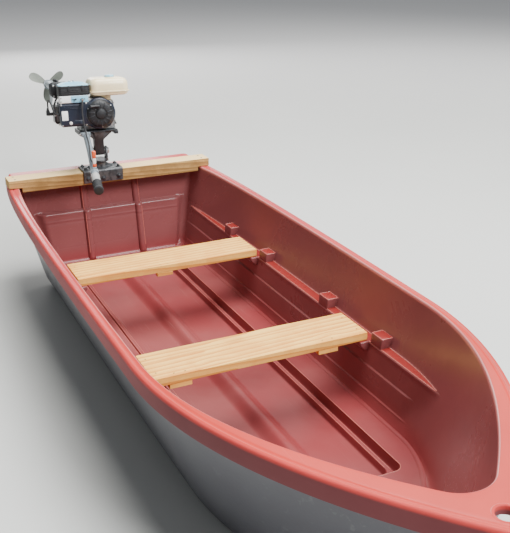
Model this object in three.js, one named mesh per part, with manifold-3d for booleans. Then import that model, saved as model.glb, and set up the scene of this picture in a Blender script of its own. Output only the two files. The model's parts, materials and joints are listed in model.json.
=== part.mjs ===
// Longtail boat: a small moulded open boat with two plank thwarts and a
// longtail motor that steers and tilts on a timber across the transom.
// Millimetres. While it is built, +X points to the bow from the transom line,
// +Y to port and +Z up from the ground. At the end the boat is moved so that
// its origin lies under the middle of its bounding box.

import * as THREE from 'three';
import { mergeVertices } from 'three/addons/utils/BufferGeometryUtils.js';
import Module from 'manifold-3d';

const wasm = await Module();
wasm.setup();

// Driving dimensions of the hull
const GUNWALE_HEIGHT = 441;
const FLANGE_THICK = 12;
const SKIRT_DEPTH = 55;
const SKIN = 6;
const FLOOR_PANEL = 85;
const FLOOR_WELL = 45;
const LINER_UNDERSIDE = 28;
const LEDGE_HEIGHT = 262;
const LEDGE_INNER = 352;
const STERN_CORNER = 22;
const SIDE_BULGE = 12;
const GAP = 0.4;

// Driving dimensions of the woodwork
const PLANK_THICK = 27;
const PLANK_DEPTH = 160;
const PLANK_HALF_LENGTH = 350;
const FRONT_THWART_X = 1515;
const REAR_THWART_X = 725;
const BEAM = { rear: 43, front: 123, top: 476, bottom: 422, halfLength: 440, lapHalf: 384 };

// Driving dimensions of the motor, from its tilt axis
const PIVOT = new THREE.Vector3(82, -46, 552);
const STEER_AT_REST = -6;
const PITCH_AT_REST = -6;
const CRADLE_TOP = 90.4;
const TUBE_RADIUS = 21;
const TUBE_START = -180;
const TUBE_END = -1690;
const PROPELLER_X = -1772;
const PROPELLER_RADIUS = 115;

// The engine's pieces are drawn at the size of a common small engine, and the engine is
// built at this share of it, with the origin of its drawing at this place on the motor
const ENGINE_SHARE = 0.8;
const ENGINE_AT = new THREE.Vector3(12, 1.6, 60);
const ENGINE_FOOT = 38;
const CRANK = 128;
const CRANK_Y = 8;
const FAN_RADIUS = 82;
const BELL_END = -240;
const TAIL_Y = CRANK_Y * ENGINE_SHARE + ENGINE_AT.y;
const TAIL_Z = CRANK * ENGINE_SHARE + ENGINE_AT.z;

// Plan outlines of the gunwale's outer edge and of the opening's inner edge.
// stern and tip are X, bow is where the side starts to curve in.
const GUNWALE = { stern: -90, sternHalf: 420, bow: 1740, half: 464, tip: 2706, nose: 16 };
const OPENING = { stern: 30, sternHalf: 388, bow: 1745, half: 434, tip: 2578, nose: 68 };

function radians(degrees) {
  return THREE.MathUtils.degToRad(degrees);
}

// Solids

function solid(geometry) {
  const plain = geometry.index ? geometry.clone() : geometry;
  plain.deleteAttribute('normal');
  plain.deleteAttribute('uv');
  const merged = mergeVertices(plain, 1e-3);
  return new wasm.Manifold(new wasm.Mesh({
    numProp: 3,
    vertProperties: new Float32Array(merged.attributes.position.array),
    triVerts: new Uint32Array(merged.index.array),
  }));
}

function toGeometry(manifold) {
  const mesh = manifold.getMesh();
  const geometry = new THREE.BufferGeometry();
  geometry.setAttribute('position', new THREE.BufferAttribute(mesh.vertProperties, 3));
  geometry.setIndex(new THREE.BufferAttribute(mesh.triVerts, 1));
  return geometry;
}

function join(first, ...others) {
  return others.reduce((sum, geometry) => sum.add(solid(geometry)), solid(first));
}

function cut(manifold, ...tools) {
  return tools.reduce((rest, geometry) => rest.subtract(solid(geometry)), manifold);
}

// A closed surface through rings of equal length, capped at both ends
function loft(rings) {
  const count = rings[0].length;
  const positions = rings.flat().flatMap((p) => [p.x, p.y, p.z]);
  const index = [];
  for (let r = 0; r + 1 < rings.length; r += 1) {
    for (let i = 0; i < count; i += 1) {
      const j = (i + 1) % count;
      const a = r * count + i;
      const b = r * count + j;
      index.push(a, b, b + count, a, b + count, a + count);
    }
  }
  const cap = (r, flip) => {
    const outline = rings[r].map((p) => new THREE.Vector2(p.x, p.y));
    THREE.ShapeUtils.triangulateShape(outline, []).forEach(([a, b, c]) => {
      const base = r * count;
      index.push(base + a, base + (flip ? c : b), base + (flip ? b : c));
    });
  };
  cap(0, true);
  cap(rings.length - 1, false);
  const geometry = new THREE.BufferGeometry();
  geometry.setAttribute('position', new THREE.Float32BufferAttribute(positions, 3));
  geometry.setIndex(index);
  return geometry;
}

function box(x0, x1, y0, y1, z0, z1) {
  const geometry = new THREE.BoxGeometry(x1 - x0, y1 - y0, z1 - z0);
  return geometry.translate((x0 + x1) / 2, (y0 + y1) / 2, (z0 + z1) / 2);
}

// A round bar between two points
function bar(from, to, radius, sides = 16) {
  const span = new THREE.Vector3().subVectors(to, from);
  const geometry = new THREE.CylinderGeometry(radius, radius, span.length(), sides);
  const turn = new THREE.Quaternion().setFromUnitVectors(
    new THREE.Vector3(0, 1, 0), span.clone().normalize());
  const middle = new THREE.Vector3().addVectors(from, to).multiplyScalar(0.5);
  return geometry.applyQuaternion(turn).translate(middle.x, middle.y, middle.z);
}

// A round bar along X, with its own radius at each end
function barX(x0, x1, y, z, r0, r1 = r0, sides = 24) {
  const geometry = new THREE.CylinderGeometry(r1, r0, x1 - x0, sides);
  return geometry.rotateZ(-Math.PI / 2).translate((x0 + x1) / 2, y, z);
}

function shapeOf(points) {
  return new THREE.Shape(points.map(([x, y]) => new THREE.Vector2(x, y)));
}

// A rectangle with round corners, centred on the origin
function roundedRectangle(width, height, radius) {
  const x = width / 2 - radius;
  const y = height / 2 - radius;
  const shape = new THREE.Shape();
  shape.absarc(x, y, radius, 0, Math.PI / 2);
  shape.absarc(-x, y, radius, Math.PI / 2, Math.PI);
  shape.absarc(-x, -y, radius, Math.PI, Math.PI * 1.5);
  shape.absarc(x, -y, radius, Math.PI * 1.5, Math.PI * 2);
  return shape;
}

function plate(shape, thick, curveSegments = 5) {
  return new THREE.ExtrudeGeometry(shape, { depth: thick, bevelEnabled: false, curveSegments });
}

// A shape drawn in Y and Z, extruded forward from x0 to x1
function alongX(shape, x0, x1, curveSegments = 5) {
  const geometry = plate(shape, x1 - x0, curveSegments);
  return geometry.rotateX(Math.PI / 2).rotateZ(Math.PI / 2).translate(x0, 0, 0);
}

// A shape drawn in X and Z, extruded to port from y0 to y1
function alongY(shape, y0, y1, curveSegments = 5) {
  const geometry = plate(shape, y1 - y0, curveSegments);
  return geometry.rotateX(Math.PI / 2).translate(0, y1, 0);
}

// A block with round edges, its section drawn in Y and Z
function softBlock(x0, x1, y0, y1, z0, z1, radius) {
  const bevel = Math.min(radius / 2, (x1 - x0) / 4, (z1 - z0) / 4);
  const width = y1 - y0 - 2 * bevel;
  const height = z1 - z0 - 2 * bevel;
  const shape = roundedRectangle(width, height, Math.min(radius / 2, height / 2.5));
  const geometry = new THREE.ExtrudeGeometry(shape, {
    depth: x1 - x0 - 2 * bevel,
    bevelThickness: bevel,
    bevelSize: bevel,
    bevelSegments: 2,
    curveSegments: 3,
  });
  geometry.translate(0, 0, bevel).rotateX(Math.PI / 2).rotateZ(Math.PI / 2);
  return geometry.translate(x0, (y0 + y1) / 2, (z0 + z1) / 2);
}

function tubeAlong(points, radius, sides = 8, steps = 24) {
  const path = new THREE.CatmullRomCurve3(points);
  const section = new THREE.Shape();
  section.absarc(0, 0, radius, 0, Math.PI * 2);
  return new THREE.ExtrudeGeometry(section, {
    extrudePath: path,
    steps,
    bevelEnabled: false,
    curveSegments: sides / 2,
  });
}

// Plan ring of the boat at one height: stern corner, side, bow curve and nose

function halfOutline({ stern, sternHalf, bow, half, tip, nose }) {
  const corner = STERN_CORNER;
  const points = [];
  for (const turn of [180, 150, 120, 90]) {
    points.push(new THREE.Vector2(
      stern + corner + corner * Math.cos(radians(turn)),
      sternHalf - corner + corner * Math.sin(radians(turn))));
  }
  const start = points.pop();
  const length = bow - start.x;
  const side = new THREE.CubicBezierCurve(
    start,
    new THREE.Vector2(start.x + length * 0.12, sternHalf + (half - sternHalf) * 0.85),
    new THREE.Vector2(start.x + length * 0.4, half + SIDE_BULGE),
    new THREE.Vector2(bow, half));
  points.push(...side.getPoints(9));
  const reach = tip - bow;
  const last = Math.sqrt(1 - nose / half);
  const bowSteps = 11;
  for (let i = 1; i <= bowSteps; i += 1) {
    const t = (last * i) / bowSteps;
    points.push(new THREE.Vector2(bow + reach * t, half * (1 - t * t)));
  }
  const slope = Math.atan2(2 * half * last, reach);
  const radius = nose / Math.cos(slope);
  const centre = bow + reach * last - radius * Math.sin(slope);
  for (const part of [0.75, 0.5, 0.25]) {
    const angle = (Math.PI / 2 - slope) * part;
    points.push(new THREE.Vector2(centre + radius * Math.cos(angle), radius * Math.sin(angle)));
  }
  points.push(new THREE.Vector2(centre + radius, 0));
  return points;
}

function planRing(outline, z) {
  const port = halfOutline(outline);
  const starboard = port.slice(0, -1).map((p) => new THREE.Vector2(p.x, -p.y));
  return [...starboard, ...port.reverse()].map((p) => new THREE.Vector3(p.x, p.y, z));
}

function grow(outline, by) {
  return {
    ...outline,
    stern: outline.stern - by,
    sternHalf: outline.sternHalf + by,
    half: outline.half + by,
    tip: outline.tip + by * 1.35,
    nose: outline.nose + by * 0.3,
  };
}

// Outer hull, widest under the gunwale, with a round chine and a flat bottom
const HULL_TOP = { stern: -38, sternHalf: 404, bow: 1730, half: 456, tip: 2640, nose: 100 };
const HULL_CHINE = { stern: 102, sternHalf: 322, bow: 1760, half: 316, tip: 2470, nose: 40 };

function hullShell() {
  const top = GUNWALE_HEIGHT - FLANGE_THICK - GAP;
  const outer = [
    [grow(HULL_CHINE, -34), 0],
    [grow(HULL_CHINE, -13), 7],
    [HULL_CHINE, 34],
    [HULL_TOP, top],
  ];
  const inner = [
    [grow(HULL_TOP, -SKIN), top],
    [grow(HULL_CHINE, -SKIN), 34],
    [grow(HULL_CHINE, -SKIN - 15), 12],
    [grow(HULL_CHINE, -SKIN - 34), SKIN],
  ];
  return loft([...outer, ...inner].map(([outline, z]) => planRing(outline, z)));
}

// Inner liner: underside, hidden wall, flange, skirt, flange top, inner wall
const WALL_AT_LEDGE = { stern: 64, sternHalf: 350, bow: 1735, half: 383, tip: 2515, nose: 74 };
const FLOOR_EDGE = { stern: 104, sternHalf: 312, bow: 1790, half: 312, tip: 2430, nose: 86 };

function linerBase() {
  const under = GUNWALE_HEIGHT - FLANGE_THICK;
  const foot = GUNWALE_HEIGHT - SKIRT_DEPTH;
  const rings = [
    [grow(FLOOR_EDGE, -18), LINER_UNDERSIDE],
    [grow(FLOOR_EDGE, 4), FLOOR_PANEL - 12],
    [grow(WALL_AT_LEDGE, 4), LEDGE_HEIGHT],
    [grow(OPENING, SKIN), under],
    [grow(GUNWALE, -SKIN), under],
    [grow(GUNWALE, -SKIN), foot],
    [GUNWALE, foot],
    [GUNWALE, GUNWALE_HEIGHT - 9],
    [grow(GUNWALE, -3), GUNWALE_HEIGHT - 2.5],
    [grow(GUNWALE, -9), GUNWALE_HEIGHT],
    [grow(OPENING, 7), GUNWALE_HEIGHT],
    [grow(OPENING, 2), GUNWALE_HEIGHT - 2],
    [OPENING, GUNWALE_HEIGHT - 7],
    [WALL_AT_LEDGE, LEDGE_HEIGHT],
    [FLOOR_EDGE, FLOOR_PANEL + 12],
    [grow(FLOOR_EDGE, -12), FLOOR_PANEL],
  ];
  return loft(rings.map(([outline, z]) => planRing(outline, z)));
}

function linerVolume() {
  return loft([
    planRing(grow(FLOOR_EDGE, -17), LINER_UNDERSIDE + 1),
    planRing(grow(FLOOR_EDGE, 3), FLOOR_PANEL - 12),
    planRing(grow(WALL_AT_LEDGE, 3), LEDGE_HEIGHT),
    planRing(grow(OPENING, SKIN - 2), GUNWALE_HEIGHT - FLANGE_THICK),
  ]);
}

// Lower side walls inside: straight in plan, with two laps and a ledge on top
function sideWall(side) {
  const section = [
    [420, FLOOR_PANEL - 10], [310, FLOOR_PANEL - 10], [312, 96], [319, 118], [324, 121],
    [334, 188], [339, 191], [350, LEDGE_HEIGHT - 4], [355, LEDGE_HEIGHT], [420, LEDGE_HEIGHT],
  ];
  return alongX(shapeOf(section.map(([y, z]) => [y * side, z])), 40, 2120);
}

// Blocks on the ledge before and behind each thwart, and the pad under its end
const BLOCK = { length: 60, inner: LEDGE_INNER, outer: 430, top: 294, before: 12, behind: 96 };

function thwartSeat(x, side) {
  const near = side * BLOCK.inner;
  const far = side * BLOCK.outer;
  const pad = side * (LEDGE_INNER - 32);
  const lo = (a, b) => Math.min(a, b);
  const hi = (a, b) => Math.max(a, b);
  const front = x + PLANK_DEPTH / 2 + BLOCK.before;
  const rear = x - PLANK_DEPTH / 2 - BLOCK.behind - BLOCK.length;
  const blocks = [rear, front].map((start) => box(
    start, start + BLOCK.length, lo(near, far), hi(near, far), LEDGE_HEIGHT - 20, BLOCK.top));
  const section = shapeOf([
    [side * 344, 228], [pad, 246], [pad, LEDGE_HEIGHT], [far, LEDGE_HEIGHT], [far, 228],
  ]);
  return [...blocks, alongX(section, x - 62, x + 88)];
}

// Rounded longitudinal floor channels and the lower middle floor
function floorCutters() {
  const slot = (x0, x1, y0, y1, z) => {
    const shape = roundedRectangle(x1 - x0, y1 - y0, Math.min(45, (y1 - y0) / 2 - 0.5));
    return plate(shape, 80, 6).translate((x0 + x1) / 2, (y0 + y1) / 2, z);
  };
  const cutters = [slot(170, 2010, -184, 184, FLOOR_WELL)];
  for (const side of [-1, 1]) {
    cutters.push(slot(170, 2050, side * 206 - 9, side * 206 + 9, FLOOR_WELL + 14));
  }
  return cutters;
}

// Inside of the transom: two half-round upright ribs and a level step
function transomForms() {
  const forms = [];
  for (const side of [-1, 1]) {
    forms.push(bar(
      new THREE.Vector3(26, side * 116, GUNWALE_HEIGHT - 4),
      new THREE.Vector3(104, side * 116, FLOOR_PANEL - 6), 15, 14));
  }
  const step = shapeOf([[40, 200], [104, 96], [118, 96], [84, 288], [76, 300], [40, 300]]);
  forms.push(alongY(step, -330, 330));
  return forms;
}

// The moulding stands a little higher behind the timber than along the sides
const STERN_RIM = { rear: -80, front: 22, half: 408, top: 455 };

function sternRim() {
  const { rear, front, half, top } = STERN_RIM;
  const ring = (inset, z) => {
    const outline = roundedRectangle(front - rear - 2 * inset, 2 * (half - inset), STERN_CORNER);
    return outline.getPoints(5).map((p) => new THREE.Vector3(p.x + (front + rear) / 2, p.y, z));
  };
  return loft([
    ring(0, GUNWALE_HEIGHT - 5), ring(0, top - 8), ring(2.5, top - 2.5), ring(8, top),
  ]);
}

function deckLiner() {
  const volume = solid(linerVolume());
  let liner = solid(linerBase()).add(solid(sternRim()));
  for (const side of [-1, 1]) {
    let inside = solid(sideWall(side));
    for (const x of [FRONT_THWART_X, REAR_THWART_X]) {
      thwartSeat(x, side).forEach((form) => { inside = inside.add(solid(form)); });
    }
    liner = liner.add(inside.intersect(volume));
  }
  transomForms().forEach((form) => { liner = liner.add(solid(form).intersect(volume)); });
  const hole = new THREE.CylinderGeometry(24, 24, 60, 28).rotateX(Math.PI / 2);
  hole.translate(2622, 0, GUNWALE_HEIGHT);
  const seat = box(BEAM.rear - GAP, BEAM.front + GAP, -BEAM.lapHalf - GAP, BEAM.lapHalf + GAP,
    BEAM.bottom - GAP, GUNWALE_HEIGHT + 10);
  return toGeometry(cut(liner, ...floorCutters(), hole, seat));
}

// Woodwork

function plank(x) {
  const rear = x - PLANK_DEPTH / 2;
  const top = LEDGE_HEIGHT + GAP + PLANK_THICK;
  return box(rear, rear + PLANK_DEPTH, -PLANK_HALF_LENGTH, PLANK_HALF_LENGTH,
    LEDGE_HEIGHT + GAP, top);
}

// A short batten screwed under the front edge of a plank
function batten(x, y, length) {
  const front = x + PLANK_DEPTH / 2;
  return box(front - 22, front - 2, y - length / 2, y + length / 2,
    LEDGE_HEIGHT - 15, LEDGE_HEIGHT);
}

function transomBeam() {
  const { rear, front, top, bottom, halfLength, lapHalf } = BEAM;
  const lap = GUNWALE_HEIGHT + GAP;
  return alongX(shapeOf([
    [-halfLength, lap], [-lapHalf, lap], [-lapHalf, bottom], [lapHalf, bottom],
    [lapHalf, lap], [halfLength, lap], [halfLength, top], [-halfLength, top],
  ]), rear, front);
}

// Motor mount on the beam

const BRACKET_TOP = BEAM.top + GAP + 8;
const SLEEVE_TOP = BRACKET_TOP + 24;

function mountBracket() {
  const plateTop = box(BEAM.rear - 2, BEAM.front + GAP + 8, -85, 85, BEAM.top + GAP, BRACKET_TOP);
  const lip = box(BEAM.front + GAP, BEAM.front + GAP + 8, -85, 85, BEAM.top - 46, BRACKET_TOP);
  const sleeve = bar(new THREE.Vector3(PIVOT.x, 0, BEAM.top + 4),
    new THREE.Vector3(PIVOT.x, 0, SLEEVE_TOP), 24, 28);
  const bore = bar(new THREE.Vector3(PIVOT.x, 0, BEAM.top - 5),
    new THREE.Vector3(PIVOT.x, 0, SLEEVE_TOP + 5), 13, 28);
  return toGeometry(cut(join(plateTop, lip, sleeve), bore));
}

function swivelFork() {
  const base = SLEEVE_TOP + 1;
  const disc = bar(new THREE.Vector3(PIVOT.x, 0, base),
    new THREE.Vector3(PIVOT.x, 0, base + 9), 36, 28);
  const post = bar(new THREE.Vector3(PIVOT.x, 0, BEAM.top + 3),
    new THREE.Vector3(PIVOT.x, 0, base + 4), 12.5, 28);
  const cheek = shapeOf([
    [PIVOT.x - 26, base + 2], [PIVOT.x + 26, base + 2], [PIVOT.x + 18, PIVOT.z + 12],
    [PIVOT.x + 8, PIVOT.z + 20], [PIVOT.x - 8, PIVOT.z + 20], [PIVOT.x - 18, PIVOT.z + 12],
  ]);
  const cheeks = [alongY(cheek, 25, 33), alongY(cheek, -33, -25)];
  const bore = bar(new THREE.Vector3(PIVOT.x, -60, PIVOT.z),
    new THREE.Vector3(PIVOT.x, 60, PIVOT.z), 8.4, 20);
  return toGeometry(cut(join(disc, post, ...cheeks), bore));
}

function tiltPin() {
  const shaft = bar(new THREE.Vector3(PIVOT.x, -40, PIVOT.z),
    new THREE.Vector3(PIVOT.x, 40, PIVOT.z), 8, 20);
  const head = bar(new THREE.Vector3(PIVOT.x, 33.5, PIVOT.z),
    new THREE.Vector3(PIVOT.x, 41, PIVOT.z), 13, 6);
  const nut = bar(new THREE.Vector3(PIVOT.x, -41, PIVOT.z),
    new THREE.Vector3(PIVOT.x, -33.5, PIVOT.z), 13, 6);
  return toGeometry(join(shaft, head, nut));
}

// Cradle, in the motor's own frame: the tilt axis is Y through zero, +X points forward

function cradle() {
  const top = CRADLE_TOP;
  const deck = box(-112, 40, -80, 80, top - 6, top);
  const rails = [-80, 64].map((y) => box(-108, 46, y, y + 16, top - 18, top - 5));
  const lug = shapeOf([
    [-44, top - 4], [44, top - 4], [20, top - 50], [16, -10], [8, -17], [-8, -17], [-16, -10],
    [-20, top - 50],
  ]);
  const bore = bar(new THREE.Vector3(0, -60, 0), new THREE.Vector3(0, 60, 0), 8.4, 20);
  return toGeometry(cut(join(deck, ...rails, alongY(lug, -20, 20)), bore));
}

// Engine pieces, in the engine's drawing: the crankshaft lies along X at height CRANK

function crankcase() {
  const body = softBlock(-150, 8, -74, 90, ENGINE_FOOT + GAP, 190, 14);
  const foot = box(-146, 4, -90, 92, ENGINE_FOOT + GAP, ENGINE_FOOT + 16);
  return toGeometry(join(body, foot));
}

function cylinder() {
  const core = box(-122, -14, -182, -74 - GAP, 76, 178);
  const fins = [];
  for (let y = -178; y < -86; y += 17) {
    fins.push(box(-134, -2, y, y + 6, 66, 188));
  }
  return toGeometry(join(core, ...fins));
}

function valveCover() {
  return softBlock(-118, -18, -214, -182 - GAP, 80, 174, 8);
}

function fanHousing() {
  const disc = barX(8 + GAP, 60, CRANK_Y, CRANK, FAN_RADIUS, FAN_RADIUS - 3, 36);
  const duct = softBlock(8 + GAP, 60, -196, 40, 68, 190, 16);
  return toGeometry(join(disc, duct));
}

function recoilStarter() {
  const drum = barX(60 + GAP, 84, CRANK_Y, CRANK, FAN_RADIUS - 12, FAN_RADIUS - 20, 32);
  const boss = barX(80, 90, CRANK_Y, CRANK, 28, 22, 24);
  return toGeometry(join(drum, boss));
}

function recoilHandle() {
  const grip = new THREE.CapsuleGeometry(9, 34, 4, 10);
  return grip.translate(84 + GAP + 9.6, CRANK_Y - 30, CRANK + 40);
}

function airCleaner() {
  return softBlock(-50, 62, -194, -36, 226, 274, 8);
}

function airCleanerLid() {
  return softBlock(-46, 58, -190, -40, 274 + GAP, 290, 5);
}

function controlPanel() {
  return softBlock(20, 64, -194, -46, 190 + GAP, 226 - GAP, 6);
}

function carburettor() {
  return softBlock(-40, 19, -150, -96, 190 + GAP, 226 - GAP, 6);
}

const TANK_TOP = 304;

function fuelTank() {
  const body = softBlock(-140, 56, -30, 168, 213, TANK_TOP, 22);
  const seam = softBlock(-146, 62, -35, 173, 232, 239, 3);
  const feet = [-130, -20].map((x) => box(x, x + 20, -10, 80, 190 + GAP, 222));
  return toGeometry(join(body, seam, ...feet));
}

function fuelCap() {
  const cap = new THREE.CylinderGeometry(23, 25, 12, 20).rotateX(Math.PI / 2);
  return cap.translate(-10, 80, TANK_TOP + GAP + 6);
}

function muffler() {
  const can = softBlock(-168, -58, -216, -112, 206, 284, 20);
  const elbow = bar(new THREE.Vector3(-100, -150, 188 + GAP),
    new THREE.Vector3(-100, -150, 214), 15, 16);
  return toGeometry(join(can, elbow));
}

function plugCap() {
  const elbow = bar(new THREE.Vector3(-68, -214 - GAP, 128),
    new THREE.Vector3(-68, -244, 128), 9, 12);
  const head = bar(new THREE.Vector3(-68, -240, 122),
    new THREE.Vector3(-68, -240, 156), 10, 12);
  return toGeometry(join(elbow, head));
}

function ignitionLead() {
  return tubeAlong([
    new THREE.Vector3(-68, -240, 158), new THREE.Vector3(-68, -240, 172),
    new THREE.Vector3(-56, -240, 194), new THREE.Vector3(-26, -237, 202),
    new THREE.Vector3(6, -232, 186), new THREE.Vector3(30, -224, 150),
    new THREE.Vector3(34, -213, 135), new THREE.Vector3(34, -197, 132),
  ], 4, 8, 26);
}

function bellHousing() {
  const flange = barX(-166, -150 - GAP, CRANK_Y, CRANK, 62, 62, 28);
  const cone = barX(BELL_END, -160, CRANK_Y, CRANK, 30, 56, 28);
  const ear = box(-166, -150 - GAP, CRANK_Y - 14, CRANK_Y + 14, 46, 84);
  return toGeometry(join(flange, cone, ear));
}

// Tail, in the motor's own frame

function tailTube() {
  return barX(TUBE_END, TUBE_START - GAP, TAIL_Y, TAIL_Z, TUBE_RADIUS, TUBE_RADIUS, 24);
}

const BRACE = [
  new THREE.Vector3(-122, TAIL_Y, TAIL_Z - 56), new THREE.Vector3(-640, TAIL_Y, TAIL_Z - 32),
];

function tailBrace() {
  return bar(...BRACE, 8, 12);
}

function braceClamp() {
  const ring = barX(-666, -630, TAIL_Y, TAIL_Z, 27, 27, 24);
  const ear = box(-660, -636, TAIL_Y - 12, TAIL_Y + 12, TAIL_Z - 46, TAIL_Z - 22);
  const bore = barX(-670, -610, TAIL_Y, TAIL_Z, TUBE_RADIUS + GAP, TUBE_RADIUS + GAP, 24);
  const rod = bar(...BRACE, 8 + GAP, 12);
  return toGeometry(cut(join(ring, ear), bore, rod));
}

function sternBearing() {
  return barX(-1744, TUBE_END - GAP, TAIL_Y, TAIL_Z, 24, 29, 24);
}

function skeg() {
  const fin = shapeOf([
    [-1680, TAIL_Z - TUBE_RADIUS - 1], [-1500, TAIL_Z - TUBE_RADIUS - 1],
    [-1640, TAIL_Z - 122], [-1672, TAIL_Z - 124],
  ]);
  return alongY(fin, TAIL_Y - 2.5, TAIL_Y + 2.5);
}

// Three twisted blades on a hub; the shaft comes from the stern bearing
function propeller() {
  const hub = barX(PROPELLER_X - 30, PROPELLER_X + 24, TAIL_Y, TAIL_Z, 18, 24, 24);
  const shaft = barX(PROPELLER_X, -1744 - GAP, TAIL_Y, TAIL_Z, 10, 10, 24);
  const outline = new THREE.Shape();
  outline.moveTo(-14, 10);
  outline.bezierCurveTo(-44, 40, -40, PROPELLER_RADIUS, 4, PROPELLER_RADIUS);
  outline.bezierCurveTo(40, PROPELLER_RADIUS, 34, 44, 12, 10);
  const blades = [0, 120, 240].map((turn) => {
    const blade = plate(outline, 5, 9).translate(0, 0, -2.5);
    const place = blade.attributes.position;
    for (let i = 0; i < place.count; i += 1) {
      const radius = place.getY(i);
      const pitch = radians(58 - 0.3 * radius);
      const across = place.getX(i);
      const thick = place.getZ(i);
      place.setXYZ(i,
        across * Math.sin(pitch) - thick * Math.cos(pitch),
        -across * Math.cos(pitch) - thick * Math.sin(pitch),
        radius);
    }
    return blade.rotateX(radians(turn + 180)).translate(PROPELLER_X, TAIL_Y, TAIL_Z);
  });
  return toGeometry(join(hub, shaft, ...blades));
}

function propellerNut() {
  return barX(PROPELLER_X - 52, PROPELLER_X - 30 - GAP, TAIL_Y, TAIL_Z, 6, 14, 12);
}

// Tiller: a bar forward on the starboard side, nearly level at rest
const TILLER = [
  new THREE.Vector3(60, -58, 80), new THREE.Vector3(98, -54, 24),
  new THREE.Vector3(390, -86, -38),
];
const GRIP_END = new THREE.Vector3(530, -98, -67);
const LEVER_AT = -40;
const LEVER_FOOT = 21;

function alongTiller(distance) {
  const [, bend, end] = TILLER;
  const direction = new THREE.Vector3().subVectors(end, bend).normalize();
  return end.clone().addScaledVector(direction, distance);
}

function tillerBar() {
  const [root, bend, end] = TILLER;
  const foot = box(46 + GAP, 72, -79, -40, CRADLE_TOP - 18, CRADLE_TOP - 1);
  const lever = alongTiller(LEVER_AT);
  const lug = box(-8, 8, -7, 10, 4, LEVER_FOOT).translate(lever.x, lever.y, lever.z);
  return toGeometry(join(bar(root, bend, 13, 16), bar(bend, end, 13, 16),
    new THREE.SphereGeometry(13, 16, 10).translate(bend.x, bend.y, bend.z), foot, lug));
}

function tillerGrip() {
  return bar(alongTiller(GAP), GRIP_END, 17, 18);
}

function throttleLever() {
  const foot = alongTiller(LEVER_AT);
  return box(-7, 7, -4, 10, LEVER_FOOT + GAP, 84).translate(foot.x, foot.y, foot.z);
}

function throttleCable() {
  const foot = alongTiller(LEVER_AT);
  return tubeAlong([
    new THREE.Vector3(foot.x - 11, foot.y + 3, foot.z + 28),
    new THREE.Vector3(foot.x - 90, foot.y + 4, foot.z + 44),
    new THREE.Vector3(170, -66, 56),
    new THREE.Vector3(112, -66, 96),
    new THREE.Vector3(92, -70, 160),
    new THREE.Vector3(84, -66, 205),
    new THREE.Vector3(68, -62, 226),
  ], 3.5, 8, 30);
}

// Materials

const LOOKS = {
  terracotta: { color: 0xa8453f, roughness: 0.38, metalness: 0 },
  hullGrey: { color: 0x505055, roughness: 0.5, metalness: 0 },
  pine: { color: 0xd8b26a, roughness: 0.75, metalness: 0 },
  oldTimber: { color: 0x8f7846, roughness: 0.85, metalness: 0 },
  darkSteel: { color: 0x3a3c40, roughness: 0.5, metalness: 0.7 },
  blackPlastic: { color: 0x17191d, roughness: 0.55, metalness: 0 },
  darkBlue: { color: 0x1c2333, roughness: 0.4, metalness: 0.3 },
  paleBlue: { color: 0x8fb8d0, roughness: 0.35, metalness: 0 },
  whitePlate: { color: 0xe4ecf0, roughness: 0.4, metalness: 0 },
  castAlloy: { color: 0x8b8e90, roughness: 0.55, metalness: 0.8 },
  cream: { color: 0xe9e2cf, roughness: 0.35, metalness: 0.1 },
  greyPaint: { color: 0x8c989f, roughness: 0.45, metalness: 0.5 },
  rubber: { color: 0x2a2a2c, roughness: 0.9, metalness: 0 },
  orange: { color: 0xd9562c, roughness: 0.45, metalness: 0 },
  brightAlloy: { color: 0xb9bcbb, roughness: 0.35, metalness: 0.9 },
};

function mesh(name, look, geometry) {
  const piece = new THREE.Mesh(geometry, new THREE.MeshStandardMaterial(LOOKS[look]));
  piece.name = name;
  return piece;
}

// Assembly

const frontFoot = PLANK_HALF_LENGTH - 62;
const hull = new THREE.Group();
hull.add(
  mesh('hull_shell', 'hullGrey', hullShell()),
  mesh('deck_liner', 'terracotta', deckLiner()),
  mesh('front_thwart', 'pine', plank(FRONT_THWART_X)),
  mesh('rear_thwart', 'pine', plank(REAR_THWART_X)),
  mesh('front_batten_starboard', 'pine', batten(FRONT_THWART_X, -frontFoot + 20, 68)),
  mesh('front_batten_port', 'pine', batten(FRONT_THWART_X, frontFoot - 76, 68)),
  mesh('rear_batten', 'pine', batten(REAR_THWART_X, -25, 60)),
  mesh('transom_beam', 'oldTimber', transomBeam()),
  mesh('mount_bracket', 'darkSteel', mountBracket().translate(0, PIVOT.y, 0)),
);

const swivel = new THREE.Group();
swivel.add(
  mesh('swivel_fork', 'darkSteel', swivelFork()),
  mesh('tilt_pin', 'brightAlloy', tiltPin()),
);
const steered = new THREE.Group();
steered.position.set(PIVOT.x, PIVOT.y, 0);
steered.rotation.z = radians(STEER_AT_REST);
swivel.position.set(-PIVOT.x, 0, 0);
steered.add(swivel);

const engine = new THREE.Group();
engine.scale.setScalar(ENGINE_SHARE);
engine.position.copy(ENGINE_AT);
engine.add(
  mesh('crankcase', 'castAlloy', crankcase()),
  mesh('cylinder', 'castAlloy', cylinder()),
  mesh('valve_cover', 'castAlloy', valveCover()),
  mesh('fan_housing', 'darkBlue', fanHousing()),
  mesh('recoil_starter', 'blackPlastic', recoilStarter()),
  mesh('recoil_handle', 'blackPlastic', recoilHandle()),
  mesh('air_cleaner', 'blackPlastic', airCleaner()),
  mesh('air_cleaner_lid', 'paleBlue', airCleanerLid()),
  mesh('control_panel', 'whitePlate', controlPanel()),
  mesh('carburettor', 'castAlloy', carburettor()),
  mesh('fuel_tank', 'cream', fuelTank()),
  mesh('fuel_cap', 'paleBlue', fuelCap()),
  mesh('muffler', 'darkSteel', muffler()),
  mesh('plug_cap', 'rubber', plugCap()),
  mesh('ignition_lead', 'rubber', ignitionLead()),
  mesh('bell_housing', 'castAlloy', bellHousing()),
);

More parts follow.
